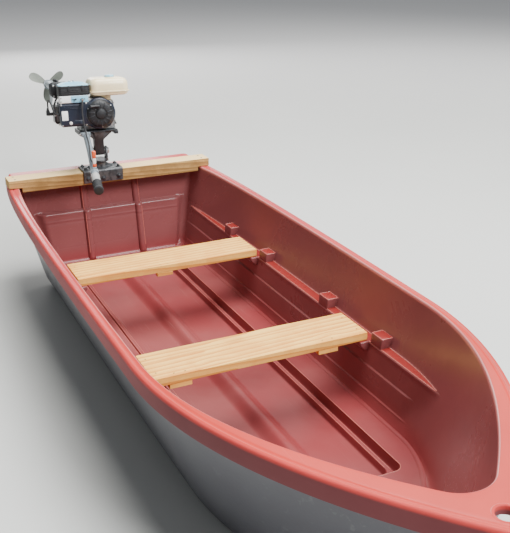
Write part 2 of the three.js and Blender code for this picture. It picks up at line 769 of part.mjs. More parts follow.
const motor = new THREE.Group();
motor.position.set(0, 0, PIVOT.z);
motor.rotation.y = radians(PITCH_AT_REST);
motor.add(
  engine,
  mesh('cradle', 'darkSteel', cradle()),
  mesh('tail_tube', 'greyPaint', tailTube()),
  mesh('tail_brace', 'greyPaint', tailBrace()),
  mesh('brace_clamp', 'darkSteel', braceClamp()),
  mesh('stern_bearing', 'greyPaint', sternBearing()),
  mesh('skeg', 'greyPaint', skeg()),
  mesh('tiller_bar', 'greyPaint', tillerBar()),
  mesh('tiller_grip', 'rubber', tillerGrip()),
  mesh('throttle_lever', 'orange', throttleLever()),
  mesh('throttle_cable', 'rubber', throttleCable()),
  mesh('propeller', 'brightAlloy', propeller()),
  mesh('propeller_nut', 'brightAlloy', propellerNut()),
);
steered.add(motor);

const boat = new THREE.Group();
boat.add(hull, steered);
boat.updateMatrixWorld(true);
const bounds = new THREE.Box3().setFromObject(boat, true);
boat.position.set(
  -(bounds.min.x + bounds.max.x) / 2, -(bounds.min.y + bounds.max.y) / 2, -bounds.min.z);
boat.updateMatrixWorld(true);

export default boat;
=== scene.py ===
"""A small moulded longtail boat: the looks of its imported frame.

Shapes are made in millimetres, in the boat's frame (X to the bow from the transom line,
Y to port, Z up from the ground) or in the motor's frame (its origin on the tilt axis, X
along the tail towards the bow). BOAT and MOTOR turn them into the row frame's metres.
"""
import json
import math
from collections import namedtuple
from functools import partial

import bmesh
import bpy
from mathutils import Matrix, Vector


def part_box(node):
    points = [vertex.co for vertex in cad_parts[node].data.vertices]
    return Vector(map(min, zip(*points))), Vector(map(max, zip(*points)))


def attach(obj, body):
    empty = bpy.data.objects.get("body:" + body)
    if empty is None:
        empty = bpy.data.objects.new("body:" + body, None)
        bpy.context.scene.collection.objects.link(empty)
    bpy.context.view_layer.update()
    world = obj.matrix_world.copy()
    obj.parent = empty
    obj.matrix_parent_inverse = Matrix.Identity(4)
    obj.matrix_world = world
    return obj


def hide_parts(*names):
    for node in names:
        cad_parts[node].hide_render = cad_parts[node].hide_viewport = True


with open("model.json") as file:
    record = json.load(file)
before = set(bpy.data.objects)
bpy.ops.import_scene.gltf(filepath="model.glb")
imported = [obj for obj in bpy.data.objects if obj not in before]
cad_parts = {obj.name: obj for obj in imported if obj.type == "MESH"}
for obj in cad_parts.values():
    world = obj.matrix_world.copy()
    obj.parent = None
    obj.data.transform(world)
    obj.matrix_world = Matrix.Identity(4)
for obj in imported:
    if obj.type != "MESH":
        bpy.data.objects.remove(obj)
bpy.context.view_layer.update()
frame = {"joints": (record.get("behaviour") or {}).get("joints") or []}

# Places taken from the frame

MM = 0.001
SCALE = Matrix.Diagonal((MM, MM, MM, 1))
GUNWALE_REAR = -90
BOAT = Matrix.Translation((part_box("deck_liner")[0].x - GUNWALE_REAR * MM, 0, 0)) @ SCALE
joints = {joint["name"]: joint for joint in frame["joints"]}
TILT_AT = Vector(joints["tail_tilt"]["pos_m"])
PORT = Vector(joints["tail_tilt"]["axis"])
FORWARD = Vector(joints["propeller_spin"]["axis"])
UP = Vector((0, 0, 1))


def on_tilt_axis(forward, port, up):
    """The place on the tilt axis with its X, Y and Z in three directions."""
    turn = Matrix((forward, port, up)).transposed().to_4x4()
    return Matrix.Translation(TILT_AT) @ turn @ SCALE


MOTOR = on_tilt_axis(FORWARD, PORT, FORWARD.cross(PORT))
SWIVEL = on_tilt_axis(PORT.cross(UP), PORT, UP)
PIVOT = BOAT.inverted() @ TILT_AT
MOUNT = BOAT @ Matrix.Translation((0, PIVOT.y, 0))

# The engine is drawn at the size of a common small engine and built at a share of it
ENGINE_SHARE = 0.8
ENGINE_AT = Vector((12, 1.6, 60))
ENGINE = MOTOR @ Matrix.Translation(ENGINE_AT) @ Matrix.Diagonal((*[ENGINE_SHARE] * 3, 1))

# Camera and light; the focal length is a share of the picture's long side

FOCAL_SHARE = 880 / 533
SENSOR = 36
CAMERA_AT = (3.172, -1.028, 1.500)
CAMERA_HEADING, CAMERA_PITCH, CAMERA_ROLL = 154.3, -22.05, 0.2

# Place, target, size, power and colour of each light
LIGHTS = {
    "sky_overhead": ((0.0, 1.0, 5.4), (0.3, 0.1, 0.2), 4.0, 580, (1.0, 0.99, 0.97)),
    "sky_behind_port": ((-3.6, 5.0, 6.0), (0.0, 0, 0.4), 6.0, 260, (1.0, 0.98, 0.95)),
    "sky_over_bow": ((5.2, 2.0, 5.0), (-1.2, 0, 0.3), 3.2, 680, (0.98, 0.99, 1.0)),
    "low_sky_astern": ((-6.6, 1.2, 2.4), (0.0, 0, 0.44), 3.0, 120, (1.0, 0.98, 0.97)),
}
SKY_COLOUR, SKY_STRENGTH = (0.93, 0.96, 1.0, 1), 0.24


def put(name, data):
    """Adds an object to the scene."""
    made = bpy.data.objects.new(name, data)
    bpy.context.scene.collection.objects.link(made)
    return made


def aimed(at, look):
    """The place of a camera or a light at a point, with the direction it looks in."""
    return Matrix.Translation(at) @ look.to_track_quat("-Z", "Y").to_matrix().to_4x4()


def make_camera():
    data = bpy.data.cameras.new("camera")
    data.sensor_width = SENSOR
    data.lens = FOCAL_SHARE * SENSOR
    turn, pitch = math.radians(CAMERA_HEADING), math.radians(CAMERA_PITCH)
    look = Vector((math.cos(turn) * math.cos(pitch), math.sin(turn) * math.cos(pitch),
                   math.sin(pitch)))
    roll = Matrix.Rotation(math.radians(CAMERA_ROLL), 4, "Z")
    camera = put("camera", data)
    camera.matrix_world = aimed(CAMERA_AT, look) @ roll
    bpy.context.scene.camera = camera


def make_lights():
    for name, (at, target, size, power, tint) in LIGHTS.items():
        data = bpy.data.lights.new(name, "AREA")
        data.shape, data.size, data.energy, data.color = "DISK", size, power, tint
        put(name, data).matrix_world = aimed(at, Vector(target) - Vector(at))
    world = bpy.data.worlds.new("studio")
    bpy.context.scene.world = world
    world.use_nodes = True
    plug(world.node_tree.nodes["Background"], {"Color": SKY_COLOUR, "Strength": SKY_STRENGTH})


# Shader nodes

def colour(hex_code):
    channels = [int(hex_code[i:i + 2], 16) / 255 for i in (1, 3, 5)]
    return (*[c / 12.92 if c <= 0.04045 else ((c + 0.055) / 1.055) ** 2.4 for c in channels], 1)


def plug(made, values):
    """Sets a node's inputs from values: outputs of other nodes, numbers or colour codes."""
    for key, value in values.items():
        if isinstance(value, Value):
            value.tree.links.new(value.socket, made.inputs[key])
        else:
            made.inputs[key].default_value = colour(value) if isinstance(value, str) else value


class Outputs:
    """A node's outputs, each a Value by its name or number."""

    def __init__(self, tree, made):
        self.tree, self.made = tree, made

    def __getitem__(self, key):
        return Value(self.tree, self.made.outputs[key])


def node(tree, kind, inputs=None, **settings):
    made = tree.nodes.new("ShaderNode" + kind)
    for key, value in settings.items():
        setattr(made, key, value)
    plug(made, inputs or {})
    return Outputs(tree, made)


class Value:
    """An output of a node, with the usual nodes that follow one."""

    def __init__(self, tree, socket):
        self.tree, self.socket = tree, socket

    def maths(self, operation, other):
        return node(self.tree, "Math", {0: self, 1: other}, operation=operation)[0]

    def __add__(self, other):
        return self.maths("ADD", other)

    def __mul__(self, other):
        return self.maths("MULTIPLY", other)

    def vector_maths(self, operation, other=(0, 0, 0)):
        return node(self.tree, "VectorMath", {0: self, 1: other}, operation=operation)

    def spread(self, low, high, to_low=0.0, to_high=1.0):
        """A smooth step from to_low to to_high while this value goes from low to high."""
        return node(self.tree, "MapRange", {
            "Value": self, "From Min": low, "From Max": high, "To Min": to_low,
            "To Max": to_high}, interpolation_type="SMOOTHSTEP")["Result"]

    def mix(self, first, second):
        """The first colour where this value is 0, the second where it is 1."""
        return node(self.tree, "Mix", {0: self, 6: first, 7: second}, data_type="RGBA")[2]

    def tint(self, other):
        return node(self.tree, "Mix", {0: 1.0, 6: self, 7: other}, data_type="RGBA",
                    blend_type="MULTIPLY")[2]

    def noise(self, scale, detail=3.0, roughness=0.55, distortion=0.0):
        return node(self.tree, "TexNoise", {
            "Vector": self, "Scale": scale, "Detail": detail, "Roughness": roughness,
            "Distortion": distortion})["Fac"]

    def stretch(self, scale):
        return node(self.tree, "Mapping", {"Vector": self, "Scale": scale})["Vector"]

    def along(self, axis):
        return node(self.tree, "SeparateXYZ", {0: self})[axis]

    def group(self, tree, inputs):
        """A node group at this coordinate."""
        return node(self.tree, "Group", {"Coordinate": self, **inputs}, node_tree=tree)


COLOUR, FLOAT, VECTOR = "NodeSocketColor", "NodeSocketFloat", "NodeSocketVector"


def new_group(name, inputs, outputs):
    """An empty node group, its inputs and its output node. Each input has a kind, or a
    number where it is one."""
    group = bpy.data.node_groups.new(name, "ShaderNodeTree")
    for label, kind in inputs.items():
        number = not isinstance(kind, str)
        socket = group.interface.new_socket(
            name=label, in_out="INPUT", socket_type=FLOAT if number else kind)
        if number:
            socket.default_value = kind
    for label, kind in outputs.items():
        group.interface.new_socket(name=label, in_out="OUTPUT", socket_type=kind)
    given = Outputs(group, group.nodes.new("NodeGroupInput"))
    return group, given, group.nodes.new("NodeGroupOutput")


def weathering_group():
    """Patches and specks over a plain finish."""
    group, given, end = new_group("weathering", {
        "Coordinate": VECTOR, "Base": COLOUR, "Patch": COLOUR, "Speck": COLOUR,
        "Patch Scale": 4.0, "Patch Amount": 0.5, "Speck Scale": 60.0, "Speck Amount": 0.2,
    }, {"Colour": COLOUR, "Roughness": FLOAT})
    at = given["Coordinate"]
    broad = at.noise(given["Patch Scale"], 5.0, 0.62, 0.4)
    patches = broad.spread(0.42, 0.68) * given["Patch Amount"]
    fine = at.noise(given["Speck Scale"], 2.0, 0.7)
    specks = fine.spread(0.60, 0.72) * given["Speck Amount"]
    plug(end, {"Colour": specks.mix(patches.mix(given["Base"], given["Patch"]), given["Speck"]),
               "Roughness": patches * 0.18 + specks})
    return group


def scratch_group():
    """Long thin scratches that run along the coordinate's X."""
    group, given, end = new_group("scratches", {
        "Coordinate": VECTOR, "Length": 2.0, "Fineness": 220.0, "Amount": 0.5}, {"Mask": FLOAT})
    at, fine = given["Coordinate"], given["Fineness"]
    scale = node(group, "CombineXYZ", {"X": given["Length"], "Y": fine, "Z": fine})[0]
    lines = at.vector_maths("MULTIPLY", scale)[0].noise(1.0, 2.0, 0.6, 0.3).spread(0.62, 0.74)
    where = at.noise(5.0, 2.0).spread(0.45, 0.65)
    plug(end, {"Mask": lines * where * given["Amount"]})
    return group


def edge_group():
    """Rubbed edges and darker hollows, from the surface's own curvature."""
    group, given, end = new_group("edge_wear", {
        "Coordinate": VECTOR, "Start": 0.53, "Amount": 0.6}, {"Edges": FLOAT, "Hollows": FLOAT})
    bend = node(group, "NewGeometry")["Pointiness"]
    broken = given["Coordinate"].noise(45.0, 4.0).spread(0.35, 0.6)
    edges = bend.spread(given["Start"], given["Start"] + 0.06)
    plug(end, {"Edges": edges * broken * given["Amount"], "Hollows": bend.spread(0.49, 0.42)})
    return group


def timber_group():
    """Sawn timber with its grain along the coordinate's Y, and its knots."""
    group, given, end = new_group("timber", {
        "Coordinate": VECTOR, "Early": COLOUR, "Late": COLOUR, "Knot": COLOUR,
        "Ring Scale": 9.0}, {"Colour": COLOUR, "Height": FLOAT})
    at = given["Coordinate"]
    knots = node(group, "TexVoronoi", {
        "Vector": at.stretch((7.0, 3.1, 7.0)), "Scale": 1.0, "Randomness": 1.0})
    near = knots["Distance"].spread(0.22, 0.03)
    picked = node(group, "SeparateColor", {"Color": knots["Color"]})[0].spread(0.55, 0.6)
    sway = node(group, "CombineXYZ", {"X": near * 0.012})[0]
    rings = node(group, "TexWave", {
        "Vector": at.stretch((1.0, 0.045, 1.0)).vector_maths("ADD", sway)[0],
        "Scale": given["Ring Scale"] * 3.0,
        "Distortion": at.stretch((3.0, 0.5, 3.0)).noise(1.0, 2.0) * 9.0,
        "Detail": 2.0, "Detail Scale": 1.2,
    }, wave_type="BANDS", bands_direction="DIAGONAL", wave_profile="SAW")["Fac"]
    fibre = at.stretch((260.0, 7.0, 260.0)).noise(1.0, 4.0, 0.65)
    late = rings * 0.62 + fibre * 0.5
    board = late.spread(0.3, 1.0).mix(given["Early"], given["Late"])
    plug(end, {"Colour": (near * picked).mix(board, given["Knot"]),
               "Height": fibre * 0.7 + rings * 0.3})
    return group


WEATHER = weathering_group()
SCRATCH = scratch_group()
EDGES = edge_group()
TIMBER = timber_group()

# Materials

Finish = namedtuple("Finish", "base patch speck patch_scale patch_amount rough metal worn "
                              "edge grain_scale grain_depth coat")
GRAIN_STEP = 0.00004

# Painted, cast and moulded finishes: colours, size and amount of patches, roughness,
# metalness, colour and amount of rubbed edges, size of the grain and its depth in steps of
# GRAIN_STEP metres, and coat
FINISHES = {
    "hull_grey": ("#545359", "#5e5f63", "#8a8d8c", 3, 0.6, 0.42, 0, "#77797a", 0.3, 90, 12, 0.1),
    "dark_steel": ("#3a3d41", "#2c2e31", "#7a5b44", 14, 0.7, 0.46, 0.5, "#8d8f90", 0.7, 160, 10, 0),
    "cast_alloy": ("#9a9d9e", "#77797a", "#5a5a58", 18, 0.6, 0.5, 0.85, "#d4d6d6", 0.6, 420, 25, 0),
    "dark_blue": ("#1d2637", "#161b28", "#47505e", 9, 0.5, 0.3, 0.15, "#5c6672", 0.5, 200, 5, 0.4),
    "black_plastic": ("#15171b", "#1f2226", "#3c4046", 16, 0.6, 0.5, 0, "#4a4e54", 0.5, 520, 10, 0),
    "pale_blue": ("#86c4de", "#a4d8e6", "#6d9fb3", 12, 0.5, 0.36, 0, "#cfe4f0", 0.5, 260, 4, 0.2),
    "white_plate": ("#ffffff", "#f2f8fa", "#c6d2d8", 20, 0.5, 0.38, 0, "#ffffff", 0.3, 200, 2, 0.2),
    "cream": ("#ffeec4", "#f6e2b0", "#b59a63", 10, 0.5, 0.3, 0, "#cfc6ae", 0.5, 180, 3, 0.5),
    "grey_paint": ("#8d99a0", "#76828a", "#6a5444", 12, 0.6, 0.42, 0.3, "#c3c8ca", 0.7, 220, 8, 0.1),
    "rubber": ("#232426", "#2f3033", "#55565a", 24, 0.6, 0.72, 0, "#4a4b4e", 0.4, 480, 12, 0),
    "orange": ("#df5a2b", "#c84820", "#f0a184", 26, 0.5, 0.4, 0, "#f7b79e", 0.5, 260, 4, 0.2),
    "bright_alloy": ("#c3c6c6", "#9fa3a4", "#7d7f7e", 22, 0.6, 0.34, 0.9, "#f2f3f3", 0.6, 300, 12, 0),
    "dull_alloy": ("#6d726b", "#62675f", "#55564f", 20, 0.7, 0.5, 0.3, "#a4a8a2", 0.6, 260, 16, 0),
    "grip_grey": ("#a9a9a6", "#929390", "#6f706d", 20, 0.6, 0.55, 0, "#c9c9c6", 0.5, 420, 8, 0),
    "brass": ("#b8934f", "#92743c", "#6b5630", 30, 0.6, 0.38, 0.9, "#e6cb8c", 0.5, 300, 8, 0),
    # The pale thin lines' finish: a paler red that paints the highlights along moulded edges.
    "moulded_line": ("#bd6a60", "#b05c53", "#cf8f86", 8, 0.5, 0.34, 0, "#d99a90", 0, 200, 4, 0.3),
    "white_knob": ("#f2f0ea", "#dcd8cf", "#b9b4a8", 30, 0.5, 0.4, 0, "#ffffff", 0.3, 260, 3, 0.2),
}


def new_material(name):
    """A material, its Principled shader and its object coordinate."""
    material = bpy.data.materials.new(name)
    material.use_nodes = True
    tree = material.node_tree
    return material, tree.nodes["Principled BSDF"], node(tree, "TexCoord")["Object"]


def bump(shader, height, strength, distance):
    made = node(height.tree, "Bump", {
        "Height": height, "Strength": strength, "Distance": distance})
    plug(shader, {"Normal": made["Normal"]})


def finish_material(name, row):
    look = Finish(*row)
    material, shader, at = new_material(name)
    weather = at.group(WEATHER, {
        "Base": look.base, "Patch": look.patch, "Speck": look.speck,
        "Patch Scale": look.patch_scale, "Patch Amount": look.patch_amount,
        "Speck Scale": look.patch_scale * 14, "Speck Amount": 0.22})
    worn = at.group(EDGES, {"Amount": look.edge})
    scratches = at.group(SCRATCH, {"Length": 6.0, "Fineness": 420.0, "Amount": 0.4})
    edge_wear_and_highlight = worn["Edges"].mix(weather["Colour"], look.worn)
    scratched = (scratches["Mask"] * 0.5).mix(edge_wear_and_highlight, look.worn)
    plug(shader, {
        "Base Color": (worn["Hollows"] * 0.55).mix(scratched, "#26241f"),
        "Roughness": weather["Roughness"] * 0.5 + look.rough,
        "Metallic": look.metal, "Coat Weight": look.coat, "Coat Roughness": 0.15})
    bump(shader, at.noise(look.grain_scale, 3.0, 0.6), 0.6, look.grain_depth * GRAIN_STEP)
    return material


# In metres: the heights where the gunwale and its skirt start and where the part that feet
# rub ends, and the X aft of which the level faces get no painted light
GUNWALE_FROM, SKIRT_FROM = (0.428, 0.435), (0.37, 0.38)
TREAD_TO, STERN_TO = (0.16, 0.08), (-0.3, -0.24)


def terracotta_material():
    """Moulded red plastic in lit and shaded tones of one red: maroon and glossy inside, with
    painted light in redder tones on the level faces, the gunwale and the salmon flange, an
    orange-red rim that is a painted highlight, a pale painted highlight on the opening's
    inner edge and painted shade darkening the skirt towards the bow; scuffed and dusty where
    feet rub, where pale edges are partly rubbed wear and partly painted highlight."""
    material, shader, at = new_material("terracotta_plastic")
    normal = node(at.tree, "NewGeometry")["Normal"]
    facing, height, fore = normal.along("Z"), at.along("Z"), at.along("X")
    outward = normal.vector_maths("DOT_PRODUCT", at.stretch((0.2, 1.0, 0.0)))["Value"]
    gunwale = height.spread(*GUNWALE_FROM)
    skirt = outward.spread(0.03, 0.1) * height.spread(*SKIRT_FROM)
    flange = gunwale * facing.spread(0.86, 0.985)
    bow_flange = flange * fore.spread(0.4, 1.5)
    inner_edge_highlight = gunwale * outward.spread(-0.03, -0.12)
    # Painted light: the level faces inside the bowl, except at the stern, get a redder lit tone than the
    # walls.
    level = facing.spread(0.8, 0.97) * height.spread(0.43, 0.42) * fore.spread(*STERN_TO)
    tread = height.spread(*TREAD_TO)
    # Painted shade: the skirt darkens towards the bow.
    skirt_shade_to_bow = fore.spread(0.9, 1.6).mix("#9c4648", "#75393c")
    toned = skirt.mix(level.mix("#844a4a", "#8f2e2a"), skirt_shade_to_bow)
    # Painted light: the gunwale band is a brighter red; on its rolled outer rim this is a painted
    # highlight.
    toned = gunwale.mix(toned, "#c94440")
    # Painted highlight: a pale line along the opening's inner edge.
    toned = (inner_edge_highlight * 0.6).mix(toned, "#e3a9a4")
    # Painted light: the up-facing flange is a lighter red than the walls, turning a deeper red towards
    # the bow as painted shade against the stronger light there.
    toned = flange.mix(toned, bow_flange.mix("#c44446", "#c53528"))
    toned = tread.mix(toned, "#88383a")
    worn = at.group(EDGES, {"Start": 0.522, "Amount": 0.8})
    weather = at.group(WEATHER, {
        "Base": toned, "Patch": toned.tint((0.84, 0.80, 0.82, 1)), "Speck": "#c98a82",
        "Patch Scale": 2.2, "Patch Amount": 0.75, "Speck Scale": 95.0, "Speck Amount": 0.02})
    scuffs = at.group(SCRATCH, {"Length": 3.0, "Fineness": 300.0, "Amount": 0.7})
    scuffed = scuffs["Mask"] * (tread + flange * 0.35)
    # Pale edges where feet tread: partly rubbed wear, partly a painted highlight on the floor's edges.
    edge_wear_and_highlight = (worn["Edges"] * tread).mix(weather["Colour"], "#eea79c")
    # Darker in the hollows where feet tread.
    dark_hollows = (worn["Hollows"] * (tread * 0.45)).mix(edge_wear_and_highlight, "#3d1a18")
    trodden = (scuffed * 0.4).mix(dark_hollows, "#c8948c")
    dust = tread * at.noise(3.2, 4.0).spread(0.4, 0.7) * 0.22
    matt = skirt.maths("MAXIMUM", level.maths("MAXIMUM", bow_flange) * 0.6)
    plug(shader, {
        "Base Color": dust.mix(trodden, "#9a6a66"),
        "Roughness": weather["Roughness"] * 0.3 + scuffed * 0.2 + flange * 0.12
                     + skirt * 0.35 + tread * 0.08 + 0.27,
        "Coat Weight": (matt * -1 + 1) * flange.spread(0, 1, 0.22, 0.34),
        "Coat Roughness": 0.17, "Specular IOR Level": 0.24})
    bump(shader, at.noise(7.0, 2.0, 0.5) + at.noise(520.0, 2.0, 0.6) * 0.02, 0.3, 0.004)
    return material


def timber_material(name, early, late, knot, ring_scale, rough, stain, top=None):
    """Bare timber along Y; stain is the amount of dark patches, and top is a paler colour
    for the faces that look up, painted light on the top faces."""
    material, shader, at = new_material(name)
    timber = at.group(TIMBER, {
        "Early": early, "Late": late, "Knot": knot, "Ring Scale": ring_scale})
    shown = at.group(WEATHER, {
        "Base": timber["Colour"], "Patch": late, "Speck": knot,
        "Patch Scale": 7.0 + 12 * stain, "Patch Amount": stain, "Speck Scale": 140.0,
        "Speck Amount": 0.4 * stain})["Colour"]
    # Painted light: faces that look up are paler.
    if top:
        facing = node(at.tree, "NewGeometry")["Normal"].along("Z")
        shown = (facing.spread(0.5, 0.9) * 0.8).mix(shown, top)
    plug(shader, {"Base Color": shown, "Roughness": timber["Height"] * 0.16 + rough,
                  "Specular IOR Level": 0.35})
    bump(shader, timber["Height"], 0.5, 0.0012)
    return material


def floor_material():
    material, shader, at = new_material("studio_floor")
    floor_tone = at.noise(0.8, 2.0).mix("#c9cbc8", "#d4d5d2")
    # Painted light: the floor turns paler with distance from the middle, making up for the light that
    # falls off far away.
    away = at.vector_maths("LENGTH")["Value"]
    plug(shader, {"Base Color": away.spread(3.0, 8.0).mix(floor_tone, "#ffffff"), "Roughness": 0.9})
    return material


LOOK = {name: finish_material(name, row) for name, row in FINISHES.items()}
LOOK["terracotta"] = terracotta_material()
LOOK["pine"] = timber_material("pine", "#ffc968", "#d78936", "#74431c", 9.0, 0.6, 0.35)
LOOK["old_timber"] = timber_material(
    "old_timber", "#c9a163", "#8d6a3a", "#3d2817", 12.0, 0.7, 0.6, top="#fbdca2")

# Shapes: each function adds a shape to a bmesh

MERGE = 0.01
AXES = {"X": (1, 2, 0), "Y": (0, 2, 1), "Z": (0, 1, 2)}
X, Y, Z = (1, 0, 0), (0, 1, 0), (0, 0, 1)
BACK, DOWN_Y = (-1, 0, 0), (0, -1, 0)
SIDES = (1, -1)


def lerp(a, b, t):
    return a + (b - a) * t


def smoothstep(low, high, value):
    t = min(1.0, max(0.0, (value - low) / (high - low)))
    return t * t * (3 - 2 * t)


def bezier(points, t):
    """The place at t on the curve with these control points."""
    while len(points) > 1:
        points = [lerp(a, b, t) for a, b in zip(points, points[1:])]
    return points[0]


def polar(degrees, radius=1.0, centre=(0, 0)):
    turn = math.radians(degrees)
    return centre[0] + radius * math.cos(turn), centre[1] + radius * math.sin(turn)


def arc(angles, radius, centre=(0, 0)):
    return [polar(angle, radius, centre) for angle in angles]


def rounded(a, b, radius, steps=6):
    """A rounded rectangle between pairs of its two coordinates."""
    radius = min(radius, (a[1] - a[0]) / 2 - 0.01, (b[1] - b[0]) / 2 - 0.01)
    left, right, low, high = a[0] + radius, a[1] - radius, b[0] + radius, b[1] - radius
    corners = {0: (right, high), 90: (left, high), 180: (left, low), 270: (right, low)}
    return [polar(start + 90 * i / steps, radius, centre)
            for start, centre in corners.items() for i in range(steps + 1)]


def place_ring(outline, axis, level):
    """A flat outline in the other two axes, laid across an axis at some level."""
    ring = []
    for values in outline:
        at = Vector((0, 0, 0))
        for key, value in zip(AXES[axis], (*values, level)):
            at[key] = value
        ring.append(at)
    return ring


def edges_of(verts):
    return list({edge for vert in verts for edge in vert.link_edges})


def soften(bm, verts, width, steps=2, from_angle=28):
    """Rounds the sharp edges of a shape."""
    limit = math.radians(from_angle)
    sharp = [e for e in edges_of(verts) if e.is_manifold and e.calc_face_angle(0) > limit]
    bmesh.ops.bevel(bm, geom=sharp, offset=width, offset_type="OFFSET", segments=steps,
                    profile=0.5, affect="EDGES", clamp_overlap=True, material=-1)


def along(start, way):
    """The matrix that lays a shape made along Z on the line from start."""
    return Matrix.Translation(start) @ Vector(way).to_track_quat("Z", "Y").to_matrix().to_4x4()


def rod(bm, start, end, radius, sides=24, soft=0.0, end_radius=None):
    span = Vector(end) - Vector(start)
    place = along(start, span) @ Matrix.Translation((0, 0, span.length / 2))
    verts = bmesh.ops.create_cone(
        bm, cap_ends=True, cap_tris=False, segments=sides, radius1=radius,
        radius2=end_radius or radius, depth=span.length, matrix=place)["verts"]
    if soft:
        soften(bm, verts, soft, 2, 50)


def lathe(bm, profile, start, way, steps=40):
    """A profile of distances along the axis and radii, turned about it."""
    before = set(bm.verts)
    verts = [bm.verts.new((radius, 0, reach)) for reach, radius in profile]
    edges = [bm.edges.new(pair) for pair in zip(verts, verts[1:])]
    bmesh.ops.spin(bm, geom=verts + edges, cent=(0, 0, 0), axis=Z, dvec=(0, 0, 0),
                   angle=math.tau, steps=steps, use_merge=True, use_normal_flip=False,
                   use_duplicate=False)
    made = [v for v in bm.verts if v not in before]
    bmesh.ops.transform(bm, matrix=along(start, way), verts=made)


def prism(bm, outline, axis, low, high, soft=0.0, steps=2):
    """A flat outline in the other two axes, extruded along axis from low to high."""
    verts = [bm.verts.new(at) for at in place_ring(outline, axis, low)]
    made = bmesh.ops.extrude_face_region(bm, geom=[bm.faces.new(verts)])["geom"]
    lifted = [item for item in made if isinstance(item, bmesh.types.BMVert)]
    reach, = place_ring([(0, 0)], axis, high - low)
    bmesh.ops.translate(bm, vec=reach, verts=lifted)
    if soft:
        soften(bm, verts + lifted, soft, steps)


def grid(bm, rows):
    """A surface through rows of equal length."""
    verts = bmesh.ops.create_grid(
        bm, x_segments=len(rows[0]) - 1, y_segments=len(rows) - 1, size=1)["verts"]
    for vert, place in zip(verts, [place for row in rows for place in row]):
        vert.co = place
    bmesh.ops.remove_doubles(bm, verts=verts, dist=MERGE)
    return [v for v in verts if v.is_valid]


def skin(bm, rings):
    """A surface through rings of equal length, closed round each ring and at both ends."""
    verts = grid(bm, [[*ring, ring[0]] for ring in rings])
    rim = [e for e in edges_of(verts) if e.is_boundary]
    bmesh.ops.holes_fill(bm, edges=rim, sides=0)
    return verts


def layers(bm, a, b, rings, corner, steps=6, axis="Z"):
    """A skin of rounded rectangles inside the pairs a and b, each given by its inset and
    its level; corner gives a radius from an inset."""
    skin(bm, [place_ring(rounded((a[0] + inset, a[1] - inset), (b[0] + inset, b[1] - inset),
                                 corner(inset), steps), axis, level) for inset, level in rings])


def soft_box(bm, a, b, c, corner, edge, axis="Z"):
    """A box with round corners about its axis and rounded ends; a and b are its other
    two coordinates in order."""
    rings = [(edge * (1 - y), c[0] + edge * (1 - x)) for x, y in arc((0, 22.5, 45, 67.5, 90), 1)]
    rings += [(inset, c[0] + c[1] - level) for inset, level in reversed(rings)]
    layers(bm, a, b, rings, lambda inset: max(corner - inset, 1.5), 6, axis)


def curve_through(points, steps):
    """A smooth line through points, with some steps between each two."""
    points = [Vector(p) for p in points]
    ends = [2 * points[0] - points[1], *points, 2 * points[-1] - points[-2]]
    line = []
    for a, b, c, d in zip(ends, ends[1:], ends[2:], ends[3:]):
        for t in [i / steps for i in range(steps)]:
            line.append(0.5 * (2 * b + (c - a) * t + (2 * a - 5 * b + 4 * c - d) * t * t
                               + (3 * b - a - 3 * c + d) * t ** 3))
    return [*line, points[-1]]


def tube(bm, points, radius, sides=12, steps=8, pulse=None):
    """A round tube along a smooth line; pulse changes its radius along the line."""
    line = curve_through(points, steps) if steps > 1 else [Vector(p) for p in points]
    rings = []
    side = Vector(Z).cross(line[1] - line[0])
    if side.length < 1e-3:
        side = Vector(X)
    for i, place in enumerate(line):
        ahead = (line[min(i + 1, len(line) - 1)] - line[max(i - 1, 0)]).normalized()
        side = (side - ahead * side.dot(ahead)).normalized()
        up = ahead.cross(side)
        size = radius * (pulse(i / (len(line) - 1)) if pulse else 1)
        turns = arc([360 * k / sides for k in range(sides)], size)
        rings.append([place + side * a + up * b for a, b in turns])
    skin(bm, rings)


def line_at(bm, outline, z, radius):
    """A thin tube round a closed outline, for a painted highlight line."""
    tube(bm, [(x, y, z) for x, y in [*outline, outline[0]]], radius, 8, 1)


def bead(bm, points, radius, closed=False):
    """A weld bead: a tube whose thickness ripples along its line."""
    line = curve_through(points, 6)
    if closed:
        line[-1] = line[0]
    tube(bm, line, radius, 8, 1, lambda t: 1 + 0.16 * math.sin(t * len(line) * 2.4))


def ring_bead(bm, centre, radius, thick, axis="Z"):
    first, second, third = (centre[i] for i in AXES[axis])
    ring = arc(range(0, 361, 15), radius, (first, second))
    bead(bm, place_ring(ring, axis, third), thick, True)


def bolt(bm, at, way, size):
    """A hexagon head on a washer, standing on a surface at that point."""
    at, way = Vector(at), Vector(way) * size
    for low, high, radius, sides, soft in ((-0.5 / size, 0.14, 0.75, 20, 0.05),
                                           (0.12, 0.57, 0.5, 6, 0.06),
                                           (0.52, 0.74, 0.24, 12, 0.04)):
        rod(bm, at + way * low, at + way * high, size * radius, sides, size * soft)


def screw(bm, at, size):
    """A countersunk head, flush with a surface."""
    lathe(bm, [(-1.0, 0), (-1.0, size * 0.5), (0.35, size * 0.46), (0.55, size * 0.3), (0.2, 0)],
          at, Z, 16)


SAW_STEP = 30


